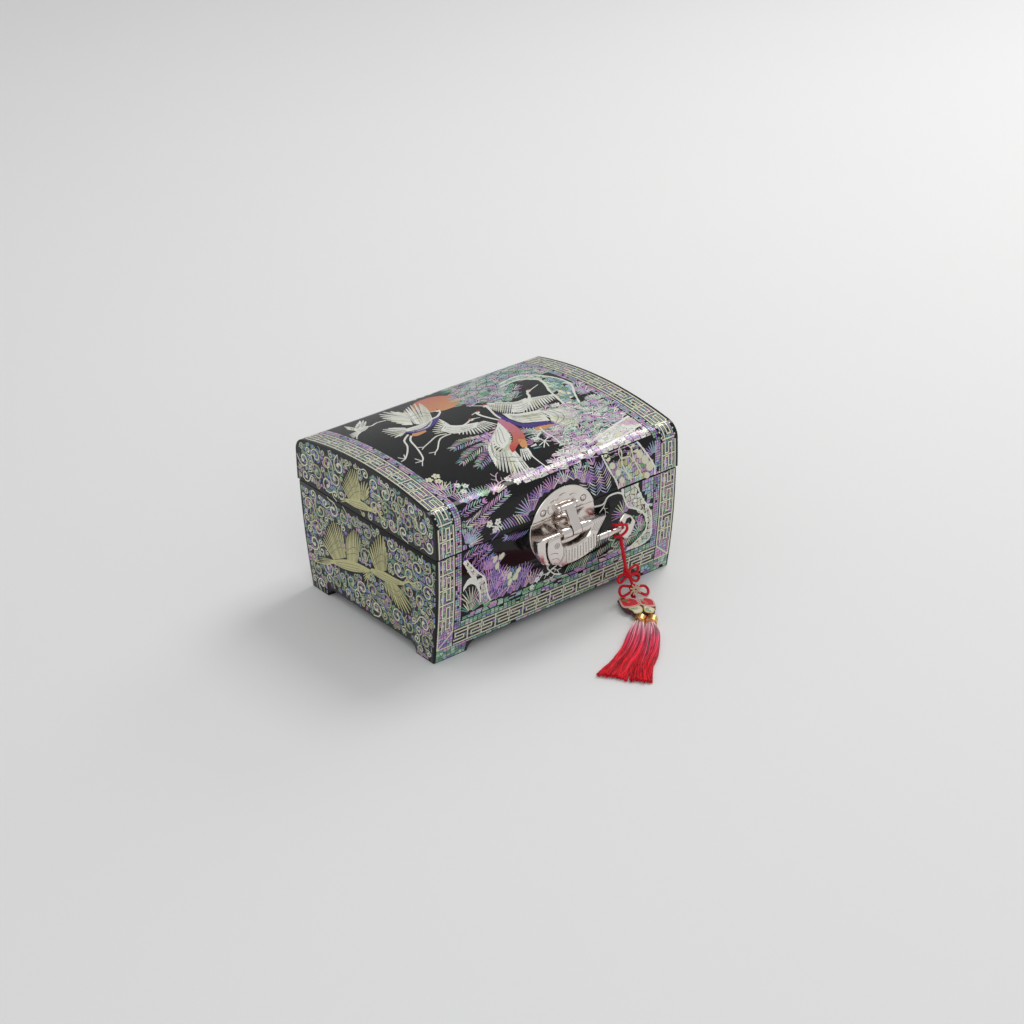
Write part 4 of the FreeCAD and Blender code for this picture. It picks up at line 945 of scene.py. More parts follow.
def foliage(art, outline, step, length, tints, holes=(), angle=90, spread_angle=165, count=9, width=0.95):
    """Pine foliage inside an outline: rows of tufts, each a fan of needles."""
    low, high = limits(outline)
    rows = int((high[1] - low[1]) / step[1]) + 1
    columns = int((high[0] - low[0]) / step[0]) + 2
    for row in range(rows):
        for column in range(columns):
            at = (low[0] + (column - 0.5 * (row % 2)) * step[0] + art.random.uniform(-0.25, 0.25) * step[0],
                  high[1] - row * step[1] + art.random.uniform(-0.25, 0.25) * step[1])
            middle = shift(at, angle, length * 0.4)
            if inside(outline, middle) and not any(inside(hole, middle) for hole in holes):
                fan(art, at, angle + art.random.uniform(-12, 12), spread_angle,
                    length * art.random.uniform(0.85, 1.1),
                    count, tints, width, PICTURE + art.random.uniform(-0.01, 0.02))


def blossom(art, centre, size, tint=WHITE):
    """Five round petals round a small heart."""
    turn = art.random.uniform(0, 72)
    for petal in range(5):
        at = shift(centre, turn + 72 * petal, size * 0.58)
        art.disc(at, size * 0.38, tint, 7, PICTURE, 1.15, turn + 72 * petal)
    art.disc(centre, size * 0.18, AMBER, 6, LINE)


def twig(art, start, angle, length, width, depth, tint=WHITE):
    """Bare branch that forks."""
    middle = shift(start, angle + 12, length * 0.5)
    tip = shift(middle, angle - 12, length * 0.5)
    art.ribbon([start, middle, tip], [width, width * 0.8, width * 0.55], tint, LINE)
    if depth:
        twig(art, tip, angle + 34, length * 0.66, width * 0.75, depth - 1, tint)
        twig(art, tip, angle - 30, length * 0.72, width * 0.75, depth - 1, tint)
        twig(art, middle, angle + 62 * art.random.choice((-1, 1)), length * 0.5, width * 0.6,
             depth - 1, tint)


def scroll(art, centre, size, start, hand, tint, width, clear):
    """Curl of line that winds in to a round bulb, from a tail that bends the other way."""
    points = []
    widths = []
    for step in range(SCROLL_STEPS + 1):
        share = step / SCROLL_STEPS
        turned = start + hand * SCROLL_TURN * share
        points.append(shift(centre, turned, size * (1.1 - 0.84 * share ** 0.75)))
        widths.append(width * (0.75 + 0.45 * share))
    for step in range(1, 5):
        tip = shift(points[0], start - hand * (90 - 24 * step), size * 0.34)
        if not clear(tip):
            break
        points.insert(0, tip)
        widths.insert(0, width * (0.75 - 0.12 * step))
    rise = art.random.uniform(0, 0.015)
    art.ribbon(points, [wide + 0.9 for wide in widths], DARK, SHARD + rise)
    art.ribbon(points, widths, tint, LINE + rise)
    art.disc(points[-1], size * 0.2 + 0.25, tint, 7, LINE + 0.02)


def bark(art, left, right, tints, size=(3.6, 3.2), edge=1.3, lift=SHARD):
    """Trunk between two edges: plates of shell inside pale edges, with a few knots."""
    left = smooth(left, 4)
    right = smooth(right, 4)
    art.fill(left + right[::-1], size, tints, (), 0.96, 0.12, 0.42, lift)
    for side in (left, right):
        art.ribbon(side, [edge * art.random.uniform(0.7, 1.5) for _ in side], WHITE, LINE + 0.05)
    for at, over in list(zip(left, right))[3:-2:4]:
        centre = between(at, over, art.random.uniform(0.35, 0.65))
        size = math.dist(at, over) * KNOT_SHARE
        ring = [shift(centre, 45 * n, size * art.random.uniform(0.8, 1.2)) for n in range(8)]
        art.line(smooth(ring + ring[:1], 3), 0.7, CREAM, LINE)


def crane(art, bird, tint=WHITE, rise=0.0):
    """Flying crane from its drawn feathers, bands and lines."""
    for roots, tips, count in bird["plumes"]:
        art.plumes(roots, tips, count, tint, PICTURE + rise)
        starts, ends = spread(smooth(roots), 8), spread(smooth(tips), 8)
        if min(map(math.dist, starts, ends)) > BROAD_WING:
            for share in (0.3, 0.48):
                art.line([between(a, b, share) for a, b in zip(starts, ends)], 0.55, SHADE, LINE + rise)
    for one, other, first, last in bird["bands"]:
        plain = first is WHITE
        art.band(one, other, tint if plain else first, last, LINE + 0.02 + rise)
        if plain:
            upper, lower = spread(smooth(one), 8), spread(smooth(other), 8)
            for share in (0.35, 0.62, 0.85):
                line = [between(a, b, share) for a, b in zip(upper, lower)]
                art.line(line[1:-1], 0.4, SHADE, LINE + 0.03 + rise)
    for points, width in bird["lines"]:
        line = smooth(points, 3)
        widths = [width * (1 - 0.35 * n / (len(line) - 1)) for n in range(len(line))]
        art.ribbon(line, widths, tint, LINE + 0.04 + rise)
    for foot, toes in bird.get("feet", ()):
        for toe in toes:
            art.bar(foot, toe, 0.8, tint, LINE + 0.04 + rise)
    if "head" in bird:
        art.disc(bird["head"], 1.9, tint, 8, LINE + 0.05 + rise, 1.3, 20)
        art.disc(bird["crown"], 1.25, CROWN_RED, 7, LINE + 0.07 + rise, 1.3, 20)


SUN_CENTRE = (-7, 57)
SUN_RADIUS = 19.5
CRANES = (
    {
        "plumes": (
            (((-30.5, 31.5), (-37, 29), (-43, 28), (-45.5, 32.5)),
             ((-19, 53.5), (-14, 70), (-21.5, 72), (-32.5, 65.5)), 10),
            (((-37.5, 53), (-42, 44), (-45, 38.5), (-47.5, 33.5)),
             ((-36, 62), (-41, 76), (-48, 78), (-54, 65.5), (-54.5, 52), (-53.5, 40)), 11),
            (((-56, 31.5), (-58, 26), (-62.5, 24.5)),
             ((-65.5, 41.5), (-71.5, 42.5), (-73.5, 32.5), (-73.5, 22.5), (-69, 21)), 8)),
        "bands": (
            (((-30.5, 31.5), (-39.5, 28), (-50, 29), (-58, 30)),
             ((-31, 29), (-41, 20), (-52, 19), (-60, 23)),
             WHITE, None),
            (((-24, 30.5), (-30.5, 29.5), (-39.5, 24.5), (-48, 21), (-55.5, 23), (-61, 25)),
             ((-25.5, 27.5), (-32, 22), (-40.5, 18), (-47.5, 16.5), (-55, 17), (-61.5, 22.5)), INDIGO,
             None),
            (((-59, 18.5), (-55, 17), (-47.5, 16.5)), ((-62, 14.5), (-58, 12), (-48.5, 13.5)), AMBER,
             None)),
        "lines": (
            (((-31.5, 31), (-25, 31.5), (-19.5, 35.5), (-17, 38), (-16.5, 41)), 2.2),
            (((-17.5, 42), (-23, 44)), 0.9),
            (((-62.5, 19), (-71.5, 12), (-75.5, 2.5), (-82.5, -7), (-90, -14.5)), 1.7),
            (((-62, 15.5), (-68, 8.5), (-72, -5), (-77.5, -20), (-81.5, -25)), 1.7)),
        "feet": (((-90, -14.5), ((-93, -9), (-86.5, -8), (-95, -16))),
                 ((-81.5, -25), ((-84, -18.5), (-87.5, -24), (-86, -31)))),
        "head": (-16.5, 41.5), "crown": (-15.5, 43.5)},
    {
        "plumes": (
            (((-83, 57.5), (-77.5, 62.5), (-75.5, 61)), ((-77.5, 69.5), (-66.5, 78), (-66, 71.5)), 6),
            (((-81, 63), (-84, 59)), ((-83.5, 76.5), (-86.5, 68)), 4),
            (((-85, 56.5), (-85, 52)), ((-93.5, 55), (-96, 47)), 4)),
        "bands": ((((-85, 60), (-80, 62), (-74, 61)), ((-86, 53), (-80, 53), (-73, 57.5)), WHITE, None),),
        "lines": ((((-80.5, 58), (-75.5, 61), (-70.5, 57.5), (-63.5, 60), (-55.5, 58.5)), 1.8),
                  (((-83, 53.5), (-90.5, 48.5), (-95, 42.5)), 1.3))},
    {
        "plumes": (
            (((-22.5, 3.5), (-18.5, 1.5), (-11.5, 0), (-4, -1)),
             ((-32.5, -7.5), (-24, -14.5), (-12, -17), (1, -13.5)), 13),
            (((-28.5, 8.5), (-32.5, 5.5), (-36.5, 3.5)),
             ((-27, 27.5), (-32.5, 21.5), (-44, 12.5), (-46.5, 6)), 8)),
        "bands": ((((-29.5, 17), (-27, 9), (-20.5, 4), (-8, 0)),
                   ((-39, 7.5), (-36, -3), (-26.5, -6.5), (-14, -6)),
                   WHITE, None),),
        "lines": ((((-20.5, 3), (-15.5, 4.5), (-10.5, 7), (-6, 7)), 1.8), (((-6, 7), (-1.5, 6)), 0.8),
                  (((-39.5, -0.5), (-47.5, 1.5), (-58.5, -3.5), (-67, -7.5)), 1.4),
                  (((-37, -2.5), (-48.5, -4), (-60, -16), (-65, -19.5)), 1.4)),
        "feet": (((-67, -7.5), ((-71, -5), (-70.5, -10))), ((-65, -19.5), ((-70, -18), (-68, -23)))),
        "head": (-9.5, 7), "crown": (-9.5, 8.5)},
    {
        "plumes": (
            (((19.5, 23), (24.5, 16.5), (29, 11.5), (35, 7)),
             ((14.5, 13), (15.5, 5.5), (18, -1), (22.5, -6.5)), 13),
            (((40.5, 4), (51, 5), (59, 4.5), (68.5, 1.5)),
             ((29.5, -11), (39, -12), (52.5, -10), (67.5, -6.5)), 14)),
        "bands": (
            (((19.5, 24.5), (28.5, 18), (37.5, 10), (48.5, 10.5)), ((20, 21), (28, 12), (36, 5), (46, 4)),
             WHITE, None),
            (((48, 9), (59.5, 5), (69, 1.5)), ((47, 3), (58, 0.5), (68, -1)), WHITE, None),
            (((32.5, 7.5), (40.5, 6.5), (48.5, 5)), ((23.5, -3.5), (30, -8.5), (43, -2)), WHITE, None)),
        "lines": ((((45.5, 4.5), (52.5, 10.5), (55.5, 17), (59.5, 19.5)), 2.6),
                  (((60.5, 20), (73, 25)), 1.1)),
        "head": (59, 20), "crown": (60.5, 21.8)},
    {
        "plumes": (
            (((36, -14), (42.5, -20), (42.5, -26), (39, -33)),
             ((66, -25), (65, -40), (56, -49), (43, -48.5)), 15),
            (((18, -2), (24, -8), (32, -12), (42, -15)), ((17, -20), (26, -25), (34, -27), (44, -30)), 11)),
        "bands": (
            (((16, 0), (22.5, -7), (31.5, -11), (43, -14)),
             ((14.5, -10.5), (18, -22.5), (26, -27), (38, -33)),
             WHITE, None),
            (((12, 4), (13.5, -4), (14, -15.5), (18, -25), (25, -28), (33, -30.5), (38.5, -38)),
             ((10.5, 1), (9, -9), (10, -19), (13.5, -27.5), (19, -34), (28, -35), (37.5, -38.8)), INDIGO,
             None),
            (((20.5, -34.5), (27.5, -35.5), (37, -38.8)), ((19.5, -39.5), (25.5, -41), (33, -40.5)), AMBER,
             None)),
        "lines": ((((15.5, 19), (13, 11), (10, 1), (9.5, -6.5)), 2.2), (((14, 22.5), (5, 32)), 1.1),
                  (((24.5, -37), (23, -45), (24, -55.5), (22.5, -66.5)), 1.4),
                  (((20.5, -43), (13.5, -47), (15, -54.5)), 1.4)),
        "feet": (((15, -54.5), ((7, -57.5), (8.5, -61.5), (13, -62), (19, -57.5), (21, -51.5))),),
        "head": (15, 20.5), "crown": (16, 23)},
    {
        "plumes": (
            (((-17, -30), (-24.5, -40), (-24.5, -48), (-15, -50)),
             ((-31.5, -42.5), (-37.5, -56.5), (-40, -69), (-31, -80)), 15),
            (((3, -14), (1.5, -24), (-2, -33), (-8, -41), (-14, -46)),
             ((-11.5, -24), (-23.5, -34), (-29, -44.5), (-25, -50), (-18, -50.5)), 12),
            (((-20, -49.5), (-16, -49.5), (-14, -53)), ((-34, -77), (-28.5, -84), (-21, -84)), 7),
            (((-8.5, -53.5), (-6, -54.5), (-3, -55.5)), ((-17, -66.5), (-12.5, -69), (-6.5, -65.5)), 6)),
        "bands": (
            (((4, -10), (1.5, -22), (-3, -32), (-10, -41)), ((-6, -20), (-14, -28), (-21, -38), (-19, -46)),
             WHITE, None),
            (((5.5, -6.5), (2, -19.5), (1, -28.5), (-2, -36), (-6.5, -41.5)),
             ((9, -7), (10.5, -16), (10.5, -26), (8.5, -36), (3.5, -45)), PINK_BELLY, CORAL),
            (((-5.5, -41), (-13.5, -46), (-17, -54)), ((0, -44.5), (-7.5, -48.5), (-14, -53.5)), CORAL,
             CROWN_RED),
            (((-1, -41), (-5, -48.5), (-6, -53)), ((3.5, -44.5), (1, -50), (-2.5, -54.5)), AMBER, None)),
        "lines": ((((1, 13), (1.5, 6.5), (4, -1.5), (6.5, -7)), 2.2), (((1, 15.5), (-3.5, 14)), 1.1),
                  (((-20, -61.5), (-23.5, -72.5), (-25.5, -84)), 1.2),
                  (((-3.5, -54), (-7, -67.5), (-6.5, -86)), 1.4)),
        "head": (2.5, 14.5), "crown": (4, 16.2)},
)
END_CRANES = (
    {
        "plumes": (
            (((-48, 38), (-38, 43), (-31, 47)), ((-63, 48.5), (-57.5, 58.5), (-46.5, 73), (-35, 71.5)), 13),
            (((-28.5, 44), (-21, 46), (-15.5, 49)), ((-28.5, 66), (-16, 78), (-9, 73.5)), 9),
            (((-49, 37), (-49.5, 35)), ((-70, 31), (-68, 26.5)), 4)),
        "bands": ((((-53.5, 35), (-31.5, 45), (-12.5, 49), (2, 50)),
                   ((-52.5, 33.5), (-32.5, 35.5), (-13, 41), (2, 48)),
                   WHITE, None),),
        "lines": ((((-12.5, 45), (-2, 48.5), (4, 48), (9.5, 51)), 2.0),
                  (((-50, 34), (-62, 28), (-76, 25)), 1.2))},
    {
        "plumes": (
            (((11.5, 51.5), (18, 54.5), (24, 58.5)), ((1.5, 67.5), (15, 84), (22.5, 88), (26.5, 75)), 11),
            (((22.5, 50.5), (28.5, 51), (35.5, 52)), ((23.5, 39), (39, 31), (52, 32), (55.5, 40.5)), 10),
            (((4.5, 51), (3, 48.5)), ((-8, 42), (-6, 36)), 4)),
        "bands": ((((4.5, 52), (21, 56), (35, 56.5), (49, 58)),
                   ((2, 48.5), (16.5, 47.5), (32.5, 50), (47, 55)),
                   WHITE, None),),
        "lines": ((((45, 56), (54, 61), (58, 60), (65, 59)), 2.0), (((4, 49), (-2, 38), (0, 29)), 1.2))},
)
LID_END_CRANES = (
    {
        "plumes": (
            (((-15.5, 101), (-10, 104.5), (-4.5, 108)), ((-29, 111.5), (-22, 123), (-15.5, 131), (-7, 133)),
             12),
            (((-3.5, 110), (-0.5, 109.5)), ((-4.5, 123), (2, 127), (9, 127), (7.5, 117)), 7),
            (((-22.5, 102), (-22, 101)), ((-33.5, 99.5), (-31.5, 96.5)), 3)),
        "bands": ((((-25, 102), (-6, 108), (10, 107)), ((-25, 99.5), (-10.5, 99.5), (10, 104)), WHITE,
                   None),),
        "lines": ((((8, 105), (16.5, 108), (22, 105), (28, 104)), 2.0),)},
)

# Places of the borders, in millimetres across and up each face
BAND_OUT = 118.4
BAND_IN = 103.4
STRIP_IN = 96.6
BAND_LOW = 11.4
BAND_HIGH = 25.2
STRIP_HIGH = 31.2
BAND_GAP = 0.8
FOOT_GAP = 0.5
HATCH = (1.9, 2.1)

# Room between the inlay of an end and its edges
SIDE_MARGIN = 1.2
TOP_MARGIN = 1.0
SEAM_MARGIN = 0.7
END_CUT_HALF = SEAM_HALF - FOOT_INSET - END_FOOT


def over_foot(reach):
    """Test for places clear of the curved cut-out between the feet, which ends at a reach."""
    def test(p):
        rise = min(1.0, max(0.0, p[1] / FOOT_HEIGHT))
        edge = reach - FOOT_CURVE * (1 - math.sqrt(1 - rise * rise))
        return p[1] > FOOT_HEIGHT + FOOT_GAP or abs(p[0]) > edge + 0.7

    return test


def side_bands(art, low, high, tints):
    """Fret band and hatched strip up both sides of a face."""
    for side in (-1, 1):
        edge = BAND_OUT if side > 0 else -BAND_IN
        fret(art, (edge, low), (0, 1), high - low, BAND_OUT - BAND_IN, tints)
        u = sorted((side * (BAND_IN - 0.9), side * STRIP_IN))
        art.mosaic((u[0], low), (u[1], high), HATCH, BAND_TINTS, None, 0.95, 0.18, 0.08)


def case_border(art, half, foot):
    """Border of a long face of the body: side bands, bottom band with mitred corners, and foot strip."""
    side_bands(art, BAND_HIGH + BAND_GAP, SEAM - 0.6, BAND_TINTS)
    fret(art, (-BAND_IN + BAND_GAP, BAND_LOW), (1, 0), 2 * (BAND_IN - BAND_GAP), BAND_HIGH - BAND_LOW,
         DUSKY, 1)
    art.mosaic((-STRIP_IN, BAND_HIGH + BAND_GAP), (STRIP_IN, STRIP_HIGH), (4.2, 1.5), SHELL + GRASSY,
               None, 0.92, 0.16, 0.16)
    for side in (-1, 1):
        outer, inner = side * (BAND_OUT - 0.5), side * BAND_IN
        art.bar((outer, BAND_HIGH + BAND_GAP), (outer, BAND_LOW + 0.4), FRET_LINE)
        art.bar((outer, BAND_LOW + 0.4), (inner, BAND_LOW + 0.4), FRET_LINE)
        art.bar((inner, BAND_HIGH), (outer, BAND_LOW + 0.9), FRET_LINE, CREAM, LINE + 0.01)
        u = sorted((inner, side * (BAND_OUT - 1)))
        art.mosaic((u[0], BAND_LOW + 0.9), (u[1], BAND_HIGH + BAND_GAP), (3.0, 3.0), BAND_TINTS)
    shoulder = half - foot - FOOT_CURVE
    for side in (-1, 1):
        u = sorted((side * shoulder, side * BAND_OUT))
        art.mosaic((u[0], 0.6), (u[1], BAND_LOW - FOOT_GAP), (3.6, 2.7), SHELL + GRASSY,
                   over_foot(half - foot),
                   0.98, 0.12, 0.36, GROUND, True)
    art.mosaic((-shoulder, FOOT_HEIGHT + FOOT_GAP), (shoulder, BAND_LOW - FOOT_GAP), (5.0, 2.4),
               SHELL + GRASSY, None,
               0.96, 0.12, 0.42)


def front_picture(art):
    """Garden on the front of the body: stump and grasses at the left, a gnarled pine at the right."""
    art.mosaic((-95.5, 32), (4, 37.5), (6.5, 1.5), SHELL + GRASSY, None, 0.9, 0.16, 0.35)
    for row, (low, high, first, last, height) in enumerate(((36, 36, -74, -28, 19), (46, 45, -71, -36, 17),
                                                            (56, 50, -71, -54, 16), (67, 66, -75, -66,
                                                                                     14))):
        for number in range(7 - row):
            share = number / (6 - row)
            base = (first + (last - first) * share, low + (high - low) * share)
            fan(art, base, 76 + art.random.uniform(-12, 12), 52, height * art.random.uniform(0.85, 1.1), 6,
                GRASS, 1.0)
    for stem in (((-95, 86), (-86, 89), (-76, 90)), ((-86, 76), (-80, 82), (-72, 86)),
                 ((-82, 67), (-76, 74), (-69, 78))):
        spray(art, stem, 7, GRASS, (-1, 1), 2.6, 42)
    spray(art, ((-32, 90.5), (-42, 91), (-52, 91.5)), 7.5, (VIOLET, BLUE, LILAC, CREAM), (1,), 2.3, 48)
    for root, angle in (((-88, 36), 84), ((-77, 37), 66)):
        fan(art, root, angle, 120, 13, 11, (GREEN, ROSE, TEAL, CREAM), 1.0)
    bark(art, ((-95, 84), (-91, 77), (-88, 71), (-82, 62), (-79, 52), (-78, 42)),
         ((-92, 85), (-83, 72), (-75.5, 64), (-72.5, 54), (-71, 46), (-68, 40)),
         (WHITE, CREAM, WHITE, ROSE), (3.4, 4.2))
    art.band(((-95, 62), (-90, 68), (-84, 66), (-79, 58)), ((-95, 58), (-90, 62.5), (-84, 60), (-80, 52)),
             WHITE)
    fan(art, (-87, 42), 92, 76, 18, 8, (MINT, CREAM, ROSE), 1.0)
    for centre, angle in (((-64.5, 75.5), 60), ((-58, 76), 50), ((-62.5, 69), 75), ((-41.5, 57), 50),
                          ((-50, 55.5), 60), ((-44, 52), 50), ((-49.5, 49.5), 70)):
        art.disc(centre, 2.1, CREAM, 9, LINE, 1.6, angle)
    art.line(((-60, 62), (-62, 70), (-60, 78)), 0.8)
    art.line(((-52, 42), (-48, 50), (-43, 57)), 0.8)
    for start, angle in (((2, 37), 148), ((-12, 41), 30)):
        twig(art, start, angle, 13, 1.6, 2)
    for centre, size in (((-22, 41), 2.9), ((-27, 36), 2.4), ((-18, 45), 2.2)):
        blossom(art, centre, size)
    art.fill([(3, 32), (96, 32), (96, 38), (78, 36), (56, 40), (30, 37), (4, 35)], (6.5, 1.6),
             (VIOLET, PINK, ROSE, GREEN, LILAC, TEAL))
    for stem in (((6.5, 35.5), (24.5, 36), (39.5, 38), (54, 43)), ((22, 45), (36, 47), (50, 51)),
                 ((56, 38), (70, 38), (88, 40))):
        spray(art, stem, 9.5, (GREEN, MINT, CREAM, TEAL, ROSE), (1,), 2.2, 64)
    bark(art, ((62.5, 92.8), (65.5, 82.5), (70.5, 74), (78.5, 69.5), (87.5, 61.5), (91, 52), (89, 44),
               (80, 38), (72, 34)),
         ((78, 92.8), (83, 79.5), (89.5, 69), (95, 59), (96, 47), (96, 38.5), (92, 34.5), (86, 33),
          (80, 32.5)),
         (WHITE, CREAM, WHITE, MINT), (4.2, 4.4))
    art.line(smooth(((33.5, 87), (43, 86), (48.5, 91), (58, 91), (65, 87.5)), 4), 1.5, WHITE)
    twig(art, (46, 88), 232, 11, 1.2, 2)
    fan(art, (66.5, 68), 118, 120, 15, 12, (VIOLET, PINK, LILAC, CREAM), 1.0)
    art.fill([(74, 66), (84, 61), (89, 52), (84, 45), (76, 50), (72, 58)], (3.0, 1.8),
             (VIOLET, GREEN, TEAL, PINK), (), 0.7, 0.2)
    fan(art, (84, 44), 112, 120, 14, 10, (GREEN, TEAL, ROSE, MINT), 0.95)
    art.fill([(84, 93), (96, 93), (96, 62), (92, 68), (86, 78)], (3.4, 3.4), (LILAC, PINK, MINT, SKY))


def apron_picture(art):
    """The lid's front apron: needles and plum at the left, rows of needles and the pine's trunk."""
    art.fill([(-96, 94.6), (-84, 94.6), (-88, 104), (-86, 116), (-90, 128), (-96, 128)], (1.9, 5.0),
             (LILAC, SKY, PINK, GREEN, MINT), (), 0.85, 0.2)
    for stem, length in ((((-92, 114), (-78, 118), (-66, 122), (-54, 126)), 9),
                         (((-94, 125), (-84, 127), (-74, 128)), 6),
                         (((-92, 102), (-84, 106), (-77, 111)), 7)):
        spray(art, stem, length, NEEDLES + (MINT,), (-1, 1), 2.6, 38)
    for angle in (80, 50, 20):
        fan(art, (-92, 97), angle, 44, 15, 6, NEEDLES, 1.0)
    twig(art, (-86, 106), 35, 9, 1.1, 2, PINK)
    for centre, size in (((-70, 108.5), 3.2), ((-62, 107.5), 3.2), ((-65, 101.5), 2.8)):
        blossom(art, centre, size)
    art.line(smooth(((-70, 107), (-64, 104), (-58, 102)), 3), 1.0, WHITE)
    spray(art, ((-31, 97.5), (-46, 98), (-60.5, 99)), 12, NEEDLES, (-1,), 2.3, 60, 1.05)
    fan(art, (-29, 102), 112, 96, 19, 11, NEEDLES, 1.1)
    for centre, angle, length in (((-20, 112), 118, 13), ((-9, 115), 105, 13), ((3, 117), 90, 12),
                                  ((15, 116), 80, 12), ((24, 110), 70, 12)):
        fan(art, centre, angle, 110, length, 10, NEEDLES, 1.0)
    for stem in (((35.5, 97), (35, 108), (33, 124)), ((27, 106), (24, 116), (21, 125)),
                 ((46, 96), (44.5, 106), (41, 118))):
        spray(art, stem, 8.5, NEEDLES, (-1, 1), 2.5, 52)
    art.mosaic((-2, 124), (30, 128), (4.0, 1.6), (GREEN, MINT, TEAL, PINK), None, 0.7)
    bark(art, ((44, 128.5), (44.5, 123.5), (50, 112.5), (55.5, 103), (58.5, 94.8)),
         ((80, 128.5), (83, 123), (91, 111), (96, 102), (96.2, 94.8)),
         (ROSE, GREEN, PINK, LILAC, STRAW, MINT, SKY), (2.4, 4.6))
    for centre, size in (((91, 104), 3.6), ((86, 111.5), 3.4), ((80.5, 118), 3.2), ((76, 124), 3.0),
                         ((48, 125), 2.6),
                         ((52, 117), 2.6), ((58, 109), 2.6), ((62, 101), 2.4), ((88, 97), 2.6)):
        art.disc(centre, size, CREAM, 9, LINE, 1.35, -55)
    for points in (((63, 127), (62, 117), (66.5, 107), (72, 97)),
                   ((73, 127), (73.5, 118), (78, 108), (83, 98))):
        art.line(smooth(points, 4), 1.1, CREAM)
    fan(art, (95, 112), 105, 100, 12, 9, (VIOLET, LILAC, SKY), 0.95)


def lid_picture(art):
    """The top: cranes between the sun and the pines, plum and needles at the left."""
    sun = [shift(SUN_CENTRE, 90 + side * (180 - 15 * n), SUN_RADIUS)
           for side in (1, -1) for n in range(1, 12)]
    art.band(sun[:11], sun[11:], AMBER, CORAL, SHARD, 11)
    back_hole = [(63, 46), (71.5, 44), (79.5, 34), (78.5, 22.5), (71.5, 10), (68.5, 2), (52, 7.5),
                 (49.5, 11),
                 (38, 9), (39.5, 16.5), (51, 19.5), (57.5, 33.5)]
    pines = [(3, 44), (8, 58), (16, 72), (20, 88.5), (96, 88.5), (96, 40), (80, 44), (58, 44), (57, 33),
             (52, 22),
             (39, 16.5), (30, 17), (24, 22), (17.5, 28.5), (7.5, 34)]
    far = (TEAL, GREEN, MINT, ROSE, MINT, TEAL, PINK, SKY)
    art.fill(pines, (7, 2.0), far + (DARK, DARK), (back_hole,), 0.7, 0.2)
    foliage(art, pines, (10, 6), 9, far, (back_hole,))
    near_hole = [(13, -46), (23, -50), (24, -61.5), (15, -71.5), (1.5, -74.5), (3, -62)]
    edge_hole = [(84, -6), (90, -12), (80, -27), (75, -18)]
    corner_hole = [(97, -8), (97, -27), (91, -18)]
    foot_hole = [(-18.5, -61), (-13, -66), (-6, -68), (-2, -75), (-11, -77), (-25, -76)]
    bank = [(39, -12), (52, -10), (61, -14), (65, -18), (75, -24), (84, -8), (91, 6), (93, 20), (96, 30),
            (96, -72),
            (10, -72), (0, -66), (2, -56), (10, -40), (13, -30), (22, -36), (38, -38), (66, -28), (50, -20)]
    near = (MINT, ROSE, LILAC, PINK, WHITE, TEAL, ROSE, MINT, WHITE)
    art.fill(bank, (7, 2.0), near + (DARK,), (near_hole, edge_hole, corner_hole), 0.75, 0.18)
    foliage(art, bank, (10, 5.5), 9, near, (near_hole, edge_hole, corner_hole))
    # Along the front crease: pale shards, partly the pale inlay and partly a painted highlight where the
    # crease catches the light
    pale_crease_and_highlight = [(-37, -76), (-26, -78), (-4, -79), (4, -74), (20, -70), (96, -70), (96, -89), (-36, -89),
             (-33, -84)]
    art.fill(pale_crease_and_highlight, (5.5, 2.0), (WHITE, ROSE, LILAC, WHITE, WHITE, PINK), (foot_hole,), 0.9, 0.14)
    foliage(art, pale_crease_and_highlight, (11, 6), 8, (WHITE, ROSE, WHITE, LILAC), (foot_hole,), 80, 150, 7)
    under = [(-3, -12), (2, -26), (-12, -30), (-24, -36), (-30, -44), (-27, -30), (-30, -18), (-14, -18)]
    art.fill(under, (4.5, 1.8), (PINK, LILAC, ROSE, TEAL), (), 0.85)
    bark(art, ((49, 44), (63.5, 46.5), (72, 44.5), (80, 34), (78.5, 23), (72, 9.5), (68, -4.5), (65, -18)),
         ((53, 50.5), (68.5, 54), (79, 52), (88, 38), (93.5, 20), (92, 5), (84, -8), (76, -24)),
         (MINT, TEAL, CREAM, SKY, GREEN), (3.6, 3.4), 1.8, PICTURE + 0.03)
    bark(art, ((50, -73), (62, -70), (78, -66), (95, -62)), ((46, -85), (60, -83), (78, -80), (95, -76)),
         (WHITE, WHITE, CREAM, ROSE), (5, 2.2), 1.6, PICTURE + 0.03)
    for stem in (((-24, -22), (-36, -21), (-48, -23)), ((-24, -33), (-40, -36), (-56, -43)),
                 ((-26, -42), (-36, -47), (-48, -54))):
        spray(art, stem, 9, (LILAC, TEAL, PINK, MINT, CREAM, GREEN), (-1, 1), 2.5, 48, 1.05)
    for centre, angle, length, tints in (((-95, -80), 68, 25, (GREEN, PINK, MINT, ROSE)),
                                         ((-90, -89), 62, 19, NEEDLES),
                                         ((-80, -89), 74, 16, (LILAC, SKY, ROSE)),
                                         ((-70, -89), 80, 13, (GREEN, MINT, CREAM)),
                                         ((-60, -89), 60, 12, NEEDLES), ((-96, -68), 50, 15,
                                                                         (PINK, LILAC, CREAM))):
        fan(art, centre, angle, 84, length, 9, tints, 1.1)
    twig(art, (-62, -88), 34, 13, 1.4, 2, ROSE)
    for u, v, size in ((-94, -50, 3.3), (-86.5, -48.5, 3.6), (-89, -55, 3.2), (-80.5, -67, 3.0),
                       (-75.5, -70.5, 2.8),
                       (-81, -75.5, 2.8), (-42, -80, 3.2), (-37, -85, 3.2)):
        blossom(art, (u, v), size, CREAM if v > -60 else WHITE)
    for u in (-10, -2, 6):
        blossom(art, (u, 84), 3.2, CREAM)
    for bird in CRANES:
        crane(art, bird, WHITE, 0.04)


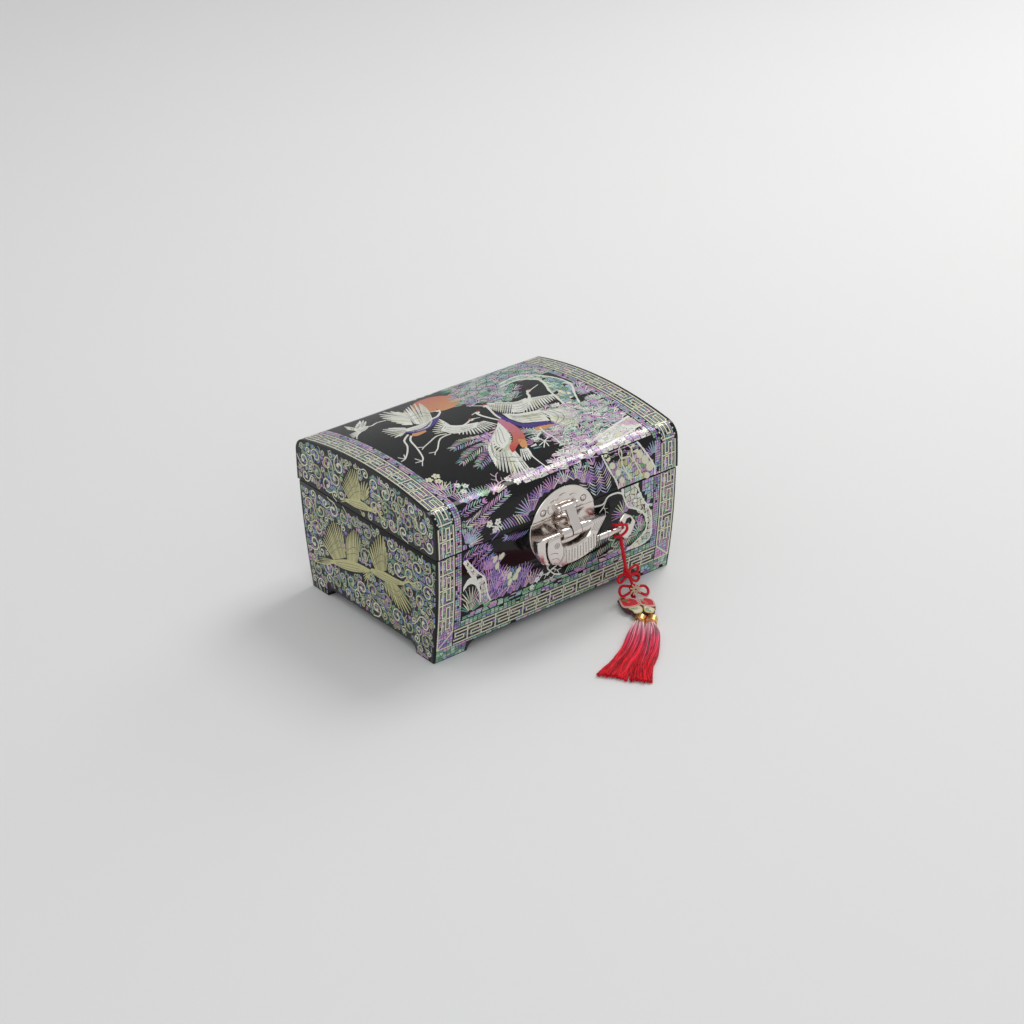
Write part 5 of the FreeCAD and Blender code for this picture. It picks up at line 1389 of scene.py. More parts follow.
def end_picture(art, inside_face, low, high, half, birds):
    """Scrolls all over an end, on shards, with cranes in front."""
    outlines = feathered(birds)

    def clear(p):
        return inside_face(p) and not any(inside(outline, p) for outline in outlines)

    art.mosaic((-half, low), (half, high), (1.8, 4.2),
               (TEAL, GREEN, VIOLET, DARK, GREEN, BLUE, TEAL, LILAC, PINK, MINT),
               clear, 0.84, 0.24, 0.4, GROUND, True)
    placed = []
    for size, tries in SCROLL_TRIES:
        for _ in range(tries):
            centre = (art.random.uniform(-half, half), art.random.uniform(low, high))
            if any(math.dist(centre, other) < SCROLL_SPACING * (size + reach) for other, reach in placed):
                continue
            if all(clear(shift(centre, 45 * n, 1.1 * size + 0.5)) for n in range(8)):
                placed.append((centre, size))
    for centre, size in placed:
        scroll(art, centre, size, art.random.uniform(0, 360), art.random.choice((-1, 1)),
               art.hue(*centre, (STRAW, CREAM, CREAM, STRAW)), 0.6 + 0.11 * size, clear)
    for bird in birds:
        crane(art, bird, OLIVE, 0.03)


def lid_end_inside(p):
    """Whether a place on a lid's end lies clear of its edges."""
    arch = CROWN - ARCH_RADIUS + math.sqrt(max(0.0, ARCH_RADIUS ** 2 - p[0] ** 2))
    beyond = (abs(p[0]) - ROUND_Y, p[1] - ROUND_Z)
    if min(beyond) > 0:
        return math.hypot(*beyond) < CREASE_ROUND - TOP_MARGIN
    side = bow_y(min(p[1], CREASE_HEIGHT), OVERHANG) - SIDE_MARGIN
    return LID_BOTTOM + SEAM_MARGIN < p[1] < arch - TOP_MARGIN and abs(p[0]) < side


def case_end_inside(p):
    """Whether a place on a body's end lies clear of its edges and the cut-out between its feet."""
    clear = p[1] > FOOT_HEIGHT + 1.4 or abs(p[0]) > END_CUT_HALF + 1.0
    return 0.8 < p[1] < SEAM - SEAM_MARGIN and clear and abs(p[0]) < bow_y(p[1]) - SIDE_MARGIN


def along_strand(points, radius, sides, verts, faces, tints, painted_light_fade, light=1.0):
    """Adds a thin tube along points in millimetres, coloured by how far along it is; on the tassels this
    level sets the painted light, pale near the cap.
    """
    first = len(verts)
    for number, point in enumerate(points):
        before = points[max(number - 1, 0)]
        after = points[min(number + 1, len(points) - 1)]
        heading = (after - before).normalized()
        side = heading.cross(Vector((0, 0, 1))).normalized()
        up = side.cross(heading)
        for n in range(sides):
            angle = 2 * math.pi * n / sides
            verts.append((point + (side * math.cos(angle) + up * math.sin(angle)) * radius) * MM)
    for number in range(len(points) - 1):
        share = number / (len(points) - 1)
        level = painted_light_fade[0] + (painted_light_fade[1] - painted_light_fade[0]) * share
        for n in range(sides):
            a, b = first + number * sides + n, first + number * sides + (n + 1) % sides
            faces.append((a, a + sides, b + sides, b))
            tints.append((level, level, level, light))
    for start, order in ((first, 1), (len(verts) - sides, -1)):
        faces.append(tuple(start + n for n in range(sides))[::order])
        tints.append((painted_light_fade[1], painted_light_fade[1], painted_light_fade[1], light))


def by_key(x, y, z):
    """Point of the hanging ornament, counted from under the lock's middle, in the key's plane."""
    return Vector((LOCK_X + x, BOLT_Y + y, z))


def at_key(x, y, above_key):
    """Point beside the key, counted from the lock's middle and the key's axis."""
    return by_key(x, y, KEY_HEIGHT + above_key)


def cord_curve(name, points, diameter, closed=False):
    """Round cord along a smooth line through its route."""
    data = bpy.data.curves.new(name, "CURVE")
    data.dimensions = "3D"
    data.bevel_depth = diameter / 2 * MM
    data.bevel_resolution = 5
    data.resolution_u = 12
    data.use_fill_caps = True
    spline = data.splines.new("NURBS")
    spline.points.add(len(points) - 1)
    for at, point in zip(spline.points, points):
        at.co = (*(point * MM), 1)
    spline.order_u = 3
    if closed:
        spline.use_cyclic_u = True
    else:
        spline.use_endpoint_u = True
    return add_object(name, data)


def joined_mesh(name, curves):
    """Curves made into one mesh."""
    for piece in curves:
        select_only(piece)
        bpy.ops.object.convert(target="MESH")
    bpy.ops.object.select_all(action="DESELECT")
    for piece in curves:
        piece.select_set(True)
    bpy.context.view_layer.objects.active = curves[0]
    if len(curves) > 1:
        bpy.ops.object.join()
    curves[0].name = name
    return curves[0]


BALL_POINTS = 12
BALL_TILT = 0.9


def ball_of_cord(name, centre, radius, cord, turns=3):
    """Knot body: rings of cord round one centre, each turned from the next."""
    rings = []
    for number in range(turns):
        axis = Matrix.Rotation(math.pi * number / turns, 3, "Z") @ Matrix.Rotation(BALL_TILT, 3, "X")
        points = []
        reach = (radius - cord / 2) / math.cos(math.pi / BALL_POINTS)
        for n in range(BALL_POINTS):
            angle = 2 * math.pi * n / BALL_POINTS
            points.append(centre + axis @ Vector((math.cos(angle), math.sin(angle), 0)) * reach)
        rings.append(cord_curve("%s_ring_%d" % (name, number), points, cord, True))
    return rings


def knot_loop(name, core, centre, side, radius, cord):
    """Loop of cord that leaves a knot, turns round a circle and comes back."""
    along = centre - core
    reach = along.length
    along.normalize()
    across = (side - along * side.dot(along)).normalized()
    apart = cord / 2
    points = [core + across * apart,
              core + along * (reach - radius) * 0.6 + across * (apart + radius * 0.35)]
    for n in range(7):
        angle = math.radians(118 - 236 * n / 6)
        points.append(centre + (along * math.cos(angle) + across * math.sin(angle)) * radius * 1.06)
    points += [core + along * (reach - radius) * 0.6 - across * (apart + radius * 0.35),
               core - across * apart]
    return cord_curve(name, points, cord)


class BoxOperator:
    """What every operator of this add-on shares."""

    bl_options = {"REGISTER", "UNDO"}

    def execute(self, context):
        self.make(context.scene.jewelry_box)
        return {"FINISHED"}


class JEWELRYBOX_OT_boards(BoxOperator, bpy.types.Operator):
    """Gives the boards of the body and the lid their black lacquer"""

    bl_idname = "jewelry_box.boards"
    bl_label = "Lacquered boards"

    def make(self, settings):
        for node in ("front_board", "back_board", "left_end_board", "right_end_board", "bottom_board"):
            eased_copy(node, "base", "lacquer", settings.edge)
        for node in ("lid_left_end", "lid_right_end", "lid_front_rail", "lid_back_rail", "lid_top_panel"):
            eased_copy(node, "lid", "lacquer")


class JEWELRYBOX_OT_interior(BoxOperator, bpy.types.Operator):
    """Makes the linings, the mirror, and the tray with its rolls, pads and tabs"""

    bl_idname = "jewelry_box.interior"
    bl_label = "Interior"

    TAB_STATIONS = 16
    TAB_DEPTH = 1.0
    TAB_THICKNESS = 0.00025
    TAB_FLAT = (0.012, 0.015)

    def make(self, settings):
        eased_copy("body_lining", "base", "velvet")
        eased_copy("tray_ledges", "base", "velvet", settings.edge)
        soft_copy("floor_pad", "base", "padding", 0.0012)
        eased_copy("lid_lining", "lid", "velvet", settings.edge)
        eased_copy("mirror_glass", "lid", "mirror")
        eased_copy("mirror_frame", "lid", "gilt", settings.edge)
        eased_copy("tray_box", "tray", "velvet", settings.edge)
        eased_copy("tray_dividers", "tray", "velvet", settings.edge)
        soft_copy("ring_rolls", "tray", "padding", 0.0009)
        soft_copy("tray_pads", "tray", "padding", 0.0005, rounds=2)
        self.tabs()

    def tabs(self):
        """Two pull tabs of ribbon, folded over at the top."""
        low, high = corners("tray_tabs")
        for name, x in (("left_tab", low.x), ("right_tab", high.x - self.TAB_DEPTH)):
            verts = []
            faces = []
            for n in range(self.TAB_STATIONS + 1):
                angle = math.pi * n / self.TAB_STATIONS
                bulge = 0.42 * math.sin(angle) ** 0.5
                height = low.z + (high.z - low.z) * math.sin(angle) ** 0.35
                across = x + self.TAB_DEPTH / 2 - (0.02 + bulge * 0.3) * math.cos(angle) * 1.2
                for y in (low.y, high.y):
                    verts.append(Vector((across, y, height)) * MM)
            for n in range(self.TAB_STATIONS):
                a = 2 * n
                faces.append((a, a + 1, a + 3, a + 2))
            piece = add_mesh(name, verts, faces)
            wall = piece.modifiers.new("cloth", "SOLIDIFY")
            wall.thickness = self.TAB_THICKNESS
            wall.offset = 0.0
            apply_modifiers(piece)
            nodes = ("tray_tabs",) if name == "left_tab" else ()
            seat(piece, "tray", "ribbon", nodes, 60)


class JEWELRYBOX_OT_front_inlay(BoxOperator, bpy.types.Operator):
    """Inlays the front and the back of the body"""

    bl_idname = "jewelry_box.front_inlay"
    bl_label = "Front and back inlay"

    def make(self, settings):
        for name, place, seed in (("front_inlay", front_face, 3), ("back_inlay", back_face, 5)):
            art = Inlay(place, seed)
            case_border(art, HALF_LENGTH, FRONT_FOOT)
            front_picture(art)
            art.piece(name, "base")


class JEWELRYBOX_OT_lid_inlay(BoxOperator, bpy.types.Operator):
    """Inlays the top of the lid and its aprons"""

    bl_idname = "jewelry_box.lid_inlay"
    bl_label = "Lid inlay"

    def make(self, settings):
        borders = Inlay(lid_face, 7)
        side_bands(borders, APRON_LOW + 0.5, TOP_LENGTH - APRON_LOW - 0.5, BORDER)
        borders.piece("lid_border_inlay", "lid")
        for name, place, picture, seed in (
                ("lid_apron_inlay", apron_face, apron_picture, 11),
                ("lid_back_apron_inlay", back_apron_face, apron_picture, 13),
                ("lid_top_inlay", top_face, lid_picture, 17)):
            art = Inlay(place, seed)
            picture(art)
            art.piece(name, "lid")


class JEWELRYBOX_OT_end_inlay(BoxOperator, bpy.types.Operator):
    """Inlays both ends of the body and the lid with scrolls and cranes"""

    bl_idname = "jewelry_box.end_inlay"
    bl_label = "End inlay"

    def make(self, settings):
        for name, side, seed in (("left", -1, 19), ("right", 1, 23)):
            body = Inlay(end_face(side * HALF_LENGTH), seed)
            end_picture(body, case_end_inside, 1.0, SEAM, SEAM_HALF, END_CRANES)
            body.piece(name + "_end_inlay", "base")
            lid = Inlay(end_face(side * LID_HALF), seed + 1)
            end_picture(lid, lid_end_inside, LID_BOTTOM, CROWN, SEAM_HALF, LID_END_CRANES)
            lid.piece(name + "_lid_inlay", "lid")


class JEWELRYBOX_OT_fittings(BoxOperator, bpy.types.Operator):
    """Polishes the hinges, the lock plates, the hasp, the padlock and the key"""

    bl_idname = "jewelry_box.fittings"
    bl_label = "Metal fittings"

    BODIES = {
        "base": ("hinge_body_leaves", "hinge_body_screws", "hinge_pins", "lower_lock_plate",
                 "lower_plate_nails", "lock_staples", "fish_lock_body"),
        "lid": ("hinge_lid_leaves", "hinge_lid_screws", "upper_lock_plate", "upper_plate_nails",
                "hasp_boss", "hasp_pin"),
        "hasp": ("hasp",),
        "shackle": ("lock_shackle",),
        "key": ("key_stem", "key_collar", "key_bow"),
    }
    NAIL = (20.0, 100.5)
    # Radius of the painted shade ring round each upper nail
    NAIL_SHADE_RING = 2.75
    EYE = (-19.8, 78.6)
    COLUMNS = 13
    ROWS = 5

    def make(self, settings):
        for body, nodes in self.BODIES.items():
            for node in nodes:
                eased_copy(node, body, "nickel", settings.metal_edge)
        eased_copy("lock_springs", "shackle", "steel")
        self.engraving()
        # Painted shade round the heads of the upper nails
        self.nail_shade_rings()

    def engraving(self):
        """Scales, tail, gill, eye and mouth cut into the cheek of the fish."""
        art = Inlay(front_plane(FISH_LOW.y), 5)
        belly = smooth(((-12, 60.8), (-4, 60.4), (8, 61.4), (16, 64.4), (21.5, 67)), 4)
        back = smooth(((-11.5, 73), (-0.8, 71.8), (8, 73.6), (15, 76.5), (21.5, 76)), 4)
        for column, (low, high) in enumerate(zip(spread(belly, self.COLUMNS), spread(back, self.COLUMNS))):
            odd = column % 2
            for row in range(self.ROWS - odd):
                centre = between(low, high, (row + 0.5 + 0.5 * odd) / self.ROWS)
                for size in (1.3, 0.7):
                    arc = [shift(centre, angle, size) for angle in range(-70, 71, 35)]
                    art.line(arc, 0.28, SHADE, ENGRAVED)
        left, right = ((14.6, 80), (16, 84), (16.6, 86.2)), ((22, 77), (25, 81.5), (28.4, 86))
        for share in (0.14, 0.32, 0.5, 0.68, 0.86):
            art.line([between(a, b, share) for a, b in zip(left, right)], 0.35, SHADE, ENGRAVED)
        for reach in (0, 1.3):
            gill = [(x - reach, z) for x, z in ((-14.2, 78.4), (-12.2, 74.2), (-13, 67.5), (-17, 62.8))]
            art.line(smooth(gill, 4), 0.4, SHADE, ENGRAVED)
        for size in (2.4, 1.5):
            art.line([shift(self.EYE, 30 * n, size) for n in range(13)], 0.35, SHADE, ENGRAVED)
        art.disc(self.EYE, 0.7, SHADE, 8, ENGRAVED)
        for width, mouth in ((0.45, ((-26.2, 73.4), (-22.5, 73.2), (-19, 71.5))),
                             (0.35, ((-25, 68.5), (-20.5, 68), (-17.5, 65)))):
            art.line(smooth(mouth, 4), width, SHADE, ENGRAVED)
        art.piece("fish_engraving", "base", "dark_lines_and_shade", "polished_nickel")

    def nail_shade_rings(self):
        """Painted shade: dark rings round the heads of the upper nails, where shade falls on the plate."""
        art = Inlay(front_plane(corners("upper_lock_plate")[0].y), 6)
        for side in (-1, 1):
            nail = (side * self.NAIL[0], self.NAIL[1])
            art.line([shift(nail, 24 * n, self.NAIL_SHADE_RING) for n in range(16)], 0.6, SHADE, ENGRAVED)
        art.piece("upper_nail_painted_shade_rings", "lid", "dark_lines_and_shade", "polished_nickel")


class JEWELRYBOX_OT_cords(BoxOperator, bpy.types.Operator):
    """Makes the loop on the key, the hanging cord and the knots below it"""

    bl_idname = "jewelry_box.cords"
    bl_label = "Cords and knots"

    LOOP_LENGTH = 0.0474
    HANGING_LENGTH = 0.0389
    KNOT_TOP = (53.2, 0, 31.0)
    SPOKES = 9

    def make(self, settings):
        loop = [at_key(48.0, 3.4, -3.3), at_key(44.2, 3.2, -4.1), at_key(41.2, 0.4, -4.8),
                at_key(42.6, -3.2, -4.6), at_key(47.6, -4.2, -3.2), at_key(52.0, -3.9, -0.6),
                at_key(51.0, -3.9, 4.2), at_key(46.2, -4.2, 5.7), at_key(41.6, -2.6, 6.2),
                at_key(40.6, 1.4, 5.2), at_key(43.8, 4.0, 3.4), at_key(47.5, 4.2, 1.2)]
        hanging = [at_key(49.9, 3.6, 1.4), at_key(50.6, 3.2, -10.2), by_key(52.6, 0.8, 40.0),
                   by_key(*self.KNOT_TOP)]
        ring = cord_curve("key_loop_cord", loop, LOOP_CORD)
        seat(ring, "key", "silk", ("cord_loop",))
        pieces = self.knots()
        hang = cord_curve("hanging_cord", hanging, CORD)
        seat(hang, "key", "silk", ("tassel_cord",))

    def knots(self):
        """Upper knot with three loops, lower knot with two, the flower, and the knot at the charm."""
        top = by_key(*self.KNOT_TOP)
        high = top + Vector((0.6, 0, -KNOT_RADIUS - 0.3))
        low = top + Vector((3.9, 0, -8.4))
        middle = (high + low) / 2
        centre = by_key(60.9, -1.0, 9.8)
        wraps = []
        for number in range(4):
            wraps += ball_of_cord("wrap_%d" % number, high.lerp(low, number / 3), KNOT_RADIUS, 1.7, 2)
        loops = [knot_loop("loop_a", middle, by_key(63.0, 0, 26.3), Vector((0, 0, 1)), 3.5, LOOP_CORD),
                 knot_loop("loop_b", middle, by_key(48.2, 0, 22.6), Vector((0, 0, 1)), 3.1, LOOP_CORD),
                 knot_loop("loop_c", low, by_key(65.8, 1.0, 17.2), Vector((0, 0, 1)), 3.0, LOOP_CORD)]
        neck = cord_curve("neck", [low, low.lerp(centre, 0.5), centre], LOOP_CORD)
        upper = joined_mesh("upper_knot_cords", wraps + loops + [neck])
        seat(upper, "key", "silk", ("upper_knot",), 60)
        body = ball_of_cord("lower", centre, LOWER_KNOT_RADIUS, 2.4, 3)
        loops = [knot_loop("loop_d", centre, by_key(71.4, -2.4, 5.0), Vector((0.25, -0.6, -0.76)), 3.8,
                           LOOP_CORD),
                 knot_loop("loop_e", centre, by_key(49.8, -1.2, 11.6), Vector((-0.3, -0.3, -0.9)), 4.1,
                           LOOP_CORD)]
        lower = joined_mesh("lower_knot_cords", body + loops)
        seat(lower, "key", "silk", ("lower_knot",), 60)
        flower = self.flower(centre)
        bead = by_key(61.2, -0.2, 2.5)
        notch = by_key(56.8, -8.6, 2.3)
        strings = ball_of_cord("bead", bead, 2.2, 1.4, 3)
        strings += [cord_curve("string_a", [bead, bead.lerp(notch, 0.5), notch], THREAD),
                    cord_curve("string_b", [bead, bead.lerp(centre, 0.4), bead.lerp(centre, 0.7)], THREAD)]
        charm = joined_mesh("charm_cord", strings)
        seat(charm, "key", "silk", ("charm_knot",), 60)
        return [upper, lower, flower, charm]

    def flower(self, centre):
        """Spokes of cream thread bound over the lower knot."""
        facing = Vector((-0.3, -0.9, 0.3)).normalized()
        turn = facing.to_track_quat("Z", "Y")
        seat_point = centre + facing * (LOWER_KNOT_RADIUS + 0.45)
        spokes = []
        for number in range(self.SPOKES):
            angle = 2 * math.pi * number / self.SPOKES
            way = turn @ Vector((math.cos(angle), math.sin(angle), 0))
            side = turn @ Vector((-math.sin(angle), math.cos(angle), 0))
            points = [seat_point + way * 0.8 + side * 0.25,
                      seat_point + way * 3.0 + side * 0.45 + facing * 0.3,
                      seat_point + way * 5.3, seat_point + way * 3.0 - side * 0.45 + facing * 0.3,
                      seat_point + way * 0.8 - side * 0.25]
            spokes.append(cord_curve("spoke_%d" % number, points, 0.7))
        piece = joined_mesh("flower_thread", spokes)
        return seat(piece, "key", "cream", ("knot_flower",), 60)


class JEWELRYBOX_OT_charm(BoxOperator, bpy.types.Operator):
    """Sews the padded butterfly with its embroidery"""

    bl_idname = "jewelry_box.charm"
    bl_label = "Butterfly charm"

    BASE = [(44.4, 0.4), (47.6, 2.0), (50.0, 0.6), (53.4, -4.4), (56.8, -8.6), (60.4, -11.2), (63.0, -10.6),
            (66.0, -16.6), (65.2, -22.2), (62.4, -25.8), (59.6, -29.0), (57.2, -31.0), (53.6, -34.4),
            (50.4, -35.2), (47.4, -29.0), (39.6, -27.0), (39.0, -24.0), (40.8, -21.0), (38.6, -17.4),
            (38.8, -13.5)]
    UPPER = ([(45.4, -0.8), (47.8, 0.6), (49.6, -0.4), (55.8, -9.2), (52.0, -18.8), (40.0, -13.6)],
             [(57.6, -10.0), (60.6, -12.2), (62.4, -11.8), (65.0, -16.8), (64.2, -21.8), (59.6, -27.6),
              (53.2, -19.6)])
    LOWER = ([(41.6, -17.0), (42.0, -21.2), (40.8, -26.2), (46.4, -27.6), (51.4, -20.2)],
             [(53.6, -21.4), (57.0, -29.8), (53.4, -33.4), (50.8, -34.0), (48.4, -28.8)])
    BASE_HEIGHT = 4.6
    WING_HEIGHT = 1.2
    RED = (0.62, 0.02, 0.04, 1)
    IVORY = (0.84, 0.78, 0.62, 1)
    GOLD = (0.70, 0.52, 0.14, 1)
    LEAF = (0.03, 0.36, 0.12, 1)
    SALMON = (0.85, 0.30, 0.16, 1)
    BLUSH = (0.86, 0.55, 0.52, 1)

    def make(self, settings):
        base = self.pillow("charm_cloth", self.BASE, 0.0, self.BASE_HEIGHT)
        seat(base, "key", "maroon", ("charm_base",), 60)
        for number, (outline, ground, edge, sprigs) in enumerate((
                (self.UPPER[0], self.RED, self.BLUSH, (self.SALMON, self.LEAF, self.IVORY)),
                (self.UPPER[1], self.RED, self.BLUSH, (self.LEAF, self.SALMON, self.IVORY)),
                (self.LOWER[0], self.IVORY, self.GOLD, (self.LEAF, self.LEAF, self.GOLD)),
                (self.LOWER[1], self.IVORY, self.GOLD, (self.LEAF, self.LEAF, self.GOLD)))):
            wing = self.pillow("wing_%d" % number, outline, self.BASE_HEIGHT, self.WING_HEIGHT, ground)
            nodes = ("charm_wings",) if number == 0 else ()
            seat(wing, "key", "embroidery", nodes, 60)
            stitches = self.stitches("stitches_%d" % number, outline, edge, sprigs, number)
            seat(stitches, "key", "embroidery", (), 60)

    def pillow(self, name, outline, low, height, tint=(0.2, 0.2, 0.2, 1)):
        """Closed pad over an outline, drawn in at its rim and rounded above."""
        line = smooth(outline + outline[:1], 3)[:-1]
        middle = middle_of(line)
        rings = ((0.78, 0.02), (0.90, 0.35), (0.99, 0.75), (0.95, 0.92), (0.82, 0.98), (0.55, 1.0))
        verts = []
        for share, rise in rings:
            for point in line:
                verts.append(by_key(*between(middle, point, share), low + height * rise) * MM)
        count = len(line)
        faces = [tuple(range(count)), tuple(range(count * len(rings) - 1, count * (len(rings) - 1) - 1,
                                                  -1))]
        for ring in range(len(rings) - 1):
            for n in range(count):
                a, b = ring * count + n, ring * count + (n + 1) % count
                faces.append((a, a + count, b + count, b))
        return add_mesh(name, verts, faces, [tint] * len(faces))

    def stitches(self, name, outline, edge, sprigs, seed):
        """Couched cord round a wing and satin stitches on it."""
        draw = random.Random(seed)
        verts, faces, tints = [], [], []
        line = smooth(outline + outline[:1], 4)
        middle = middle_of(line)
        top = self.BASE_HEIGHT + self.WING_HEIGHT

        def strand(points, radius, tint):
            start = len(tints)
            along_strand(points, radius, 5, verts, faces, tints, (0, 0))
            tints[start:] = [tint] * (len(tints) - start)

        for share, height, radius, tint in ((0.97, 0.72, 0.42, edge), (0.86, 0.96, 0.25, self.IVORY)):
            level = self.BASE_HEIGHT + self.WING_HEIGHT * height
            strand([by_key(*between(middle, point, share), level) for point in line], radius, tint)
        for sprig in range(5):
            centre = (middle[0] + draw.uniform(-3.4, 3.4), middle[1] + draw.uniform(-3.4, 3.4))
            tint = sprigs[sprig % len(sprigs)]
            for petal in range(6):
                angle = 60 * petal + draw.uniform(-10, 10)
                inner = shift(centre, angle, 0.4)
                outer = shift(centre, angle, 1.7)
                if inside(outline, outer):
                    strand([by_key(*inner, top - 0.05), by_key(*outer, top - 0.12)], 0.24, tint)
        return add_mesh(name, verts, faces, tints)


class JEWELRYBOX_OT_tassels(BoxOperator, bpy.types.Operator):
    """Makes the gold caps, their bead and the two bundles of thread"""

    bl_idname = "jewelry_box.tassels"
    bl_label = "Tassels"

    LEFT = ((19.8, -41.5), (8.3, -49.8), (-4.8, -58.1), (-19.2, -65.0), (-38.5, -71.3))
    MIDDLE = ((28.9, -50.2), (18.4, -60.2), (5.4, -70.1), (-8.0, -78.0), (-26.8, -90.0))
    RIGHT = ((38.0, -58.8), (28.4, -70.5), (15.5, -82.1), (1.6, -91.0), (-14.2, -107.3))
    HEIGHTS = (7.0, 6.4, 5.8, 5.2, 4.2)
    CAP_RADIUS = 4.5
    CAP_LENGTH = 8.0
    CAP_SPACING = 9.4
    CAP_WALL = 0.7
    LOCKS = 13
    THREAD_RADIUS = 0.27
    LIGHTS = (0.5, 0.8, 1.0, 1.2, 1.45)
    CURL = 0.9
    CURL_FROM = 8

    def make(self, settings):
        lie = Vector((-0.77, -0.64, 0)).normalized()
        beside = Vector((-lie.y, lie.x, 0))
        middle = by_key(40.8, -38.5, self.CAP_RADIUS)
        for seed, name, edge, side in ((1, "left", self.LEFT, -1), (2, "right", self.RIGHT, 1)):
            eased_copy(name + "_tassel_cap", "key", "gold", 0.0, 40)
            mouth = middle + beside * (side * self.CAP_SPACING / 2) + lie * (self.CAP_LENGTH / 2)
            self.bundle(settings, name, edge, mouth, beside * side, seed)
        eased_copy("tassel_bead", "key", "silk", 0.0, 60)

    def bundle(self, settings, name, edge, mouth, half, seed):
        """Threads from a cap's mouth, between an outer edge and the middle line."""
        draw = random.Random(seed)
        reach = self.CAP_RADIUS - self.CAP_WALL
        sections = [((mouth + half * reach).xy, (mouth - half * reach).xy, 2 * reach)]
        for outer, inner, height in zip(edge, self.MIDDLE, self.HEIGHTS):
            sections.append((by_key(*outer, 0).xy, by_key(*inner, 0).xy, height))
        verts, faces, tints = [], [], []
        locks = [((n + draw.uniform(0.2, 0.8)) / self.LOCKS, draw.uniform(-0.12, 0.12),
                  draw.uniform(0.78, 1.04),
                  draw.uniform(0.90, 1.0)) for n in range(self.LOCKS)]
        for number in range(settings.threads):
            across, drift, stature, end = locks[number % self.LOCKS]
            across += draw.gauss(0, 0.035)
            rise = draw.uniform(0.1, 0.95) ** 0.6 * stature
            last = end * draw.uniform(0.95, 1.03)
            phase = draw.uniform(0, 6.3)
            points = []
            for station, (outer, inner, height) in enumerate(sections):
                t = station / (len(sections) - 1)
                place = across + drift * math.sin(math.pi * t * 1.4) + 0.02 * math.sin(phase + 5 * t) * t
                place = min(0.98, max(0.02, place))
                if station == len(sections) - 1:
                    before = sections[-2]
                    outer = before[0].lerp(outer, last)
                    inner = before[1].lerp(inner, last)
                dome = math.sqrt(max(0.0, 1 - (2 * place - 1) ** 2)) * 0.45 + 0.5
                wave = 1 + 0.07 * math.sin(phase * 3 + station * 2.1)
                flat = outer.lerp(inner, place)
                points.append(Vector((flat.x, flat.y, max(0.3, min(0.97, rise * wave) * height * dome))))
            line = [Vector(p) for p in smooth([tuple(p) for p in points], 4)]
            for step in range(self.CURL_FROM, len(line)):
                share = (step + 1 - self.CURL_FROM) / (len(line) - self.CURL_FROM)
                curl = self.CURL * share ** 2
                line[step] += Vector((math.cos(phase + step * 1.4), math.sin(phase + step * 1.4), 0)) * curl
            light = draw.choice(self.LIGHTS)
            # Painted highlights: a low end level keeps a thread pale further down, as a lit strand
            along_strand(line, self.THREAD_RADIUS, 4, verts, faces, tints, (0.0, draw.uniform(0.55, 1.3)),
                         light)
        piece = add_mesh(name + "_tassel_threads", verts, faces, tints)
        seat(piece, "key", "tassel", (name + "_tassel",), 60)


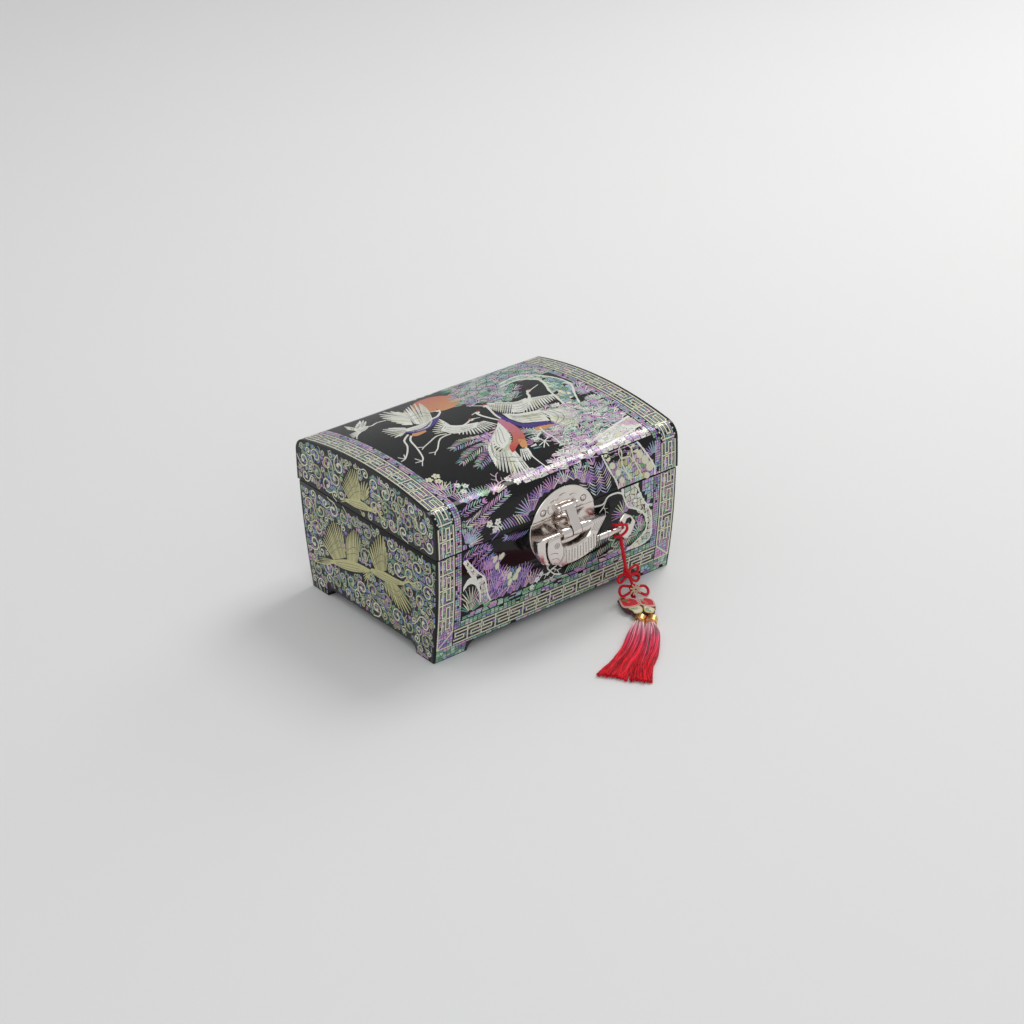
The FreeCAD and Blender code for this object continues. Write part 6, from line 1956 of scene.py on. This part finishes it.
class JEWELRYBOX_OT_stage(BoxOperator, bpy.types.Operator):
    """Sets the pale floor and wall, the soft lights and the camera"""

    bl_idname = "jewelry_box.stage"
    bl_label = "Stage and camera"

    CAMERA = Vector((-1.02910, -1.34209, 0.94723))
    AZIMUTH = -37.98
    ELEVATION = 27.68
    ROLL = -1.49
    LENS = 83.595
    SENSOR = 36
    AIM = Vector((0, 0, 0.05))
    LAMPS = (
        ("key_light", (1.2, 0.2, 1.95), 0.9, 15, (1.0, 0.99, 0.97)),
        ("side_light", (2.1, 0.6, 1.1), 1.0, 8, (1.0, 1.0, 1.0)),
        ("front_light", (-1.2, -1.9, 1.5), 1.6, 9, (0.98, 0.99, 1.0)),
    )
    AIR = (0.95, 0.96, 0.97, 1)
    AIR_STRENGTH = 0.62

    def make(self, settings):
        self.sweep()
        for lamp in self.LAMPS:
            self.lamp(*lamp)
        world = bpy.data.worlds.new("studio_air")
        world.use_nodes = True
        background = world.node_tree.nodes["Background"].inputs
        background["Color"].default_value = self.AIR
        background["Strength"].default_value = self.AIR_STRENGTH
        bpy.context.scene.world = world
        bpy.context.scene.view_settings.view_transform = "Standard"
        self.camera()

    def sweep(self):
        """Floor that curves up into a wall far behind the box."""
        size, bend, height = 6.0, 1.2, 6.0
        distance = 2.6
        profile = [(-size, 0.0), (distance, 0.0)]
        for n in range(1, 13):
            angle = math.pi / 2 * n / 12
            profile.append((distance + bend * math.sin(angle), bend * (1 - math.cos(angle))))
        profile.append((distance + bend, height))
        turn = Matrix.Rotation(math.radians(self.AZIMUTH), 3, "Z")
        verts = []
        for along, up in profile:
            for across in (-size, size):
                verts.append(turn @ Vector((across, along, up)))
        faces = [(2 * n, 2 * n + 1, 2 * n + 3, 2 * n + 2) for n in range(len(profile) - 1)]
        floor = add_mesh("studio_sweep", verts, faces)
        floor.data.materials.append(finish_named("floor"))
        select_only(floor)
        bpy.ops.object.shade_smooth()

    def lamp(self, name, place, size, power, colour):
        """Soft square light that faces the box."""
        data = bpy.data.lights.new(name, "AREA")
        data.size = size
        data.energy = power
        data.color = colour
        lamp = add_object(name, data)
        lamp.location = place
        lamp.rotation_euler = (self.AIM - Vector(place)).to_track_quat("-Z", "Y").to_euler()

    def camera(self):
        """Camera at the place that the picture was taken from."""
        azimuth, elevation, roll = map(math.radians, (self.AZIMUTH, self.ELEVATION, self.ROLL))
        back = Vector((math.sin(azimuth) * math.cos(elevation), -math.cos(azimuth) * math.cos(elevation),
                       math.sin(elevation)))
        right = Vector((math.cos(azimuth), math.sin(azimuth), 0))
        up = back.cross(right)
        turned = (right * math.cos(roll) + up * math.sin(roll),
                  up * math.cos(roll) - right * math.sin(roll), back)
        data = bpy.data.cameras.new("camera")
        data.lens = self.LENS
        data.sensor_width = self.SENSOR
        data.clip_start = 0.05
        data.clip_end = 50
        camera = add_object("camera", data)
        camera.matrix_world = Matrix.Translation(self.CAMERA) @ Matrix(turned).transposed().to_4x4()
        bpy.context.scene.camera = camera


OPERATORS = (
    JEWELRYBOX_OT_stage,
    JEWELRYBOX_OT_cords,
    JEWELRYBOX_OT_boards,
    JEWELRYBOX_OT_interior,
    JEWELRYBOX_OT_front_inlay,
    JEWELRYBOX_OT_lid_inlay,
    JEWELRYBOX_OT_end_inlay,
    JEWELRYBOX_OT_fittings,
    JEWELRYBOX_OT_charm,
    JEWELRYBOX_OT_tassels,
)


class JEWELRYBOX_PT_pieces(bpy.types.Panel):
    """Lists the settings and the operators of the jewelry box"""

    bl_idname = "JEWELRYBOX_PT_pieces"
    bl_label = "Jewelry Box"
    bl_space_type = "VIEW_3D"
    bl_region_type = "UI"
    bl_category = "Jewelry Box"

    def draw(self, context):
        settings = context.scene.jewelry_box
        for name in ("edge", "metal_edge", "lacquer", "nickel", "velvet", "silk", "threads"):
            self.layout.prop(settings, name)
        for operator in OPERATORS:
            self.layout.operator(operator.bl_idname)


CLASSES = (JewelryBoxSettings, *OPERATORS, JEWELRYBOX_PT_pieces)


def register():
    """Registers the classes and the settings."""
    for cls in CLASSES:
        bpy.utils.register_class(cls)
    bpy.types.Scene.jewelry_box = bpy.props.PointerProperty(type=JewelryBoxSettings)


def unregister():
    """Removes the settings and the classes."""
    del bpy.types.Scene.jewelry_box
    for cls in reversed(CLASSES):
        bpy.utils.unregister_class(cls)


def main():
    """Makes every piece."""
    register()
    for operator in OPERATORS:
        getattr(bpy.ops.jewelry_box, operator.bl_idname.split(".")[1])()


if __name__ == "__main__":
    main()
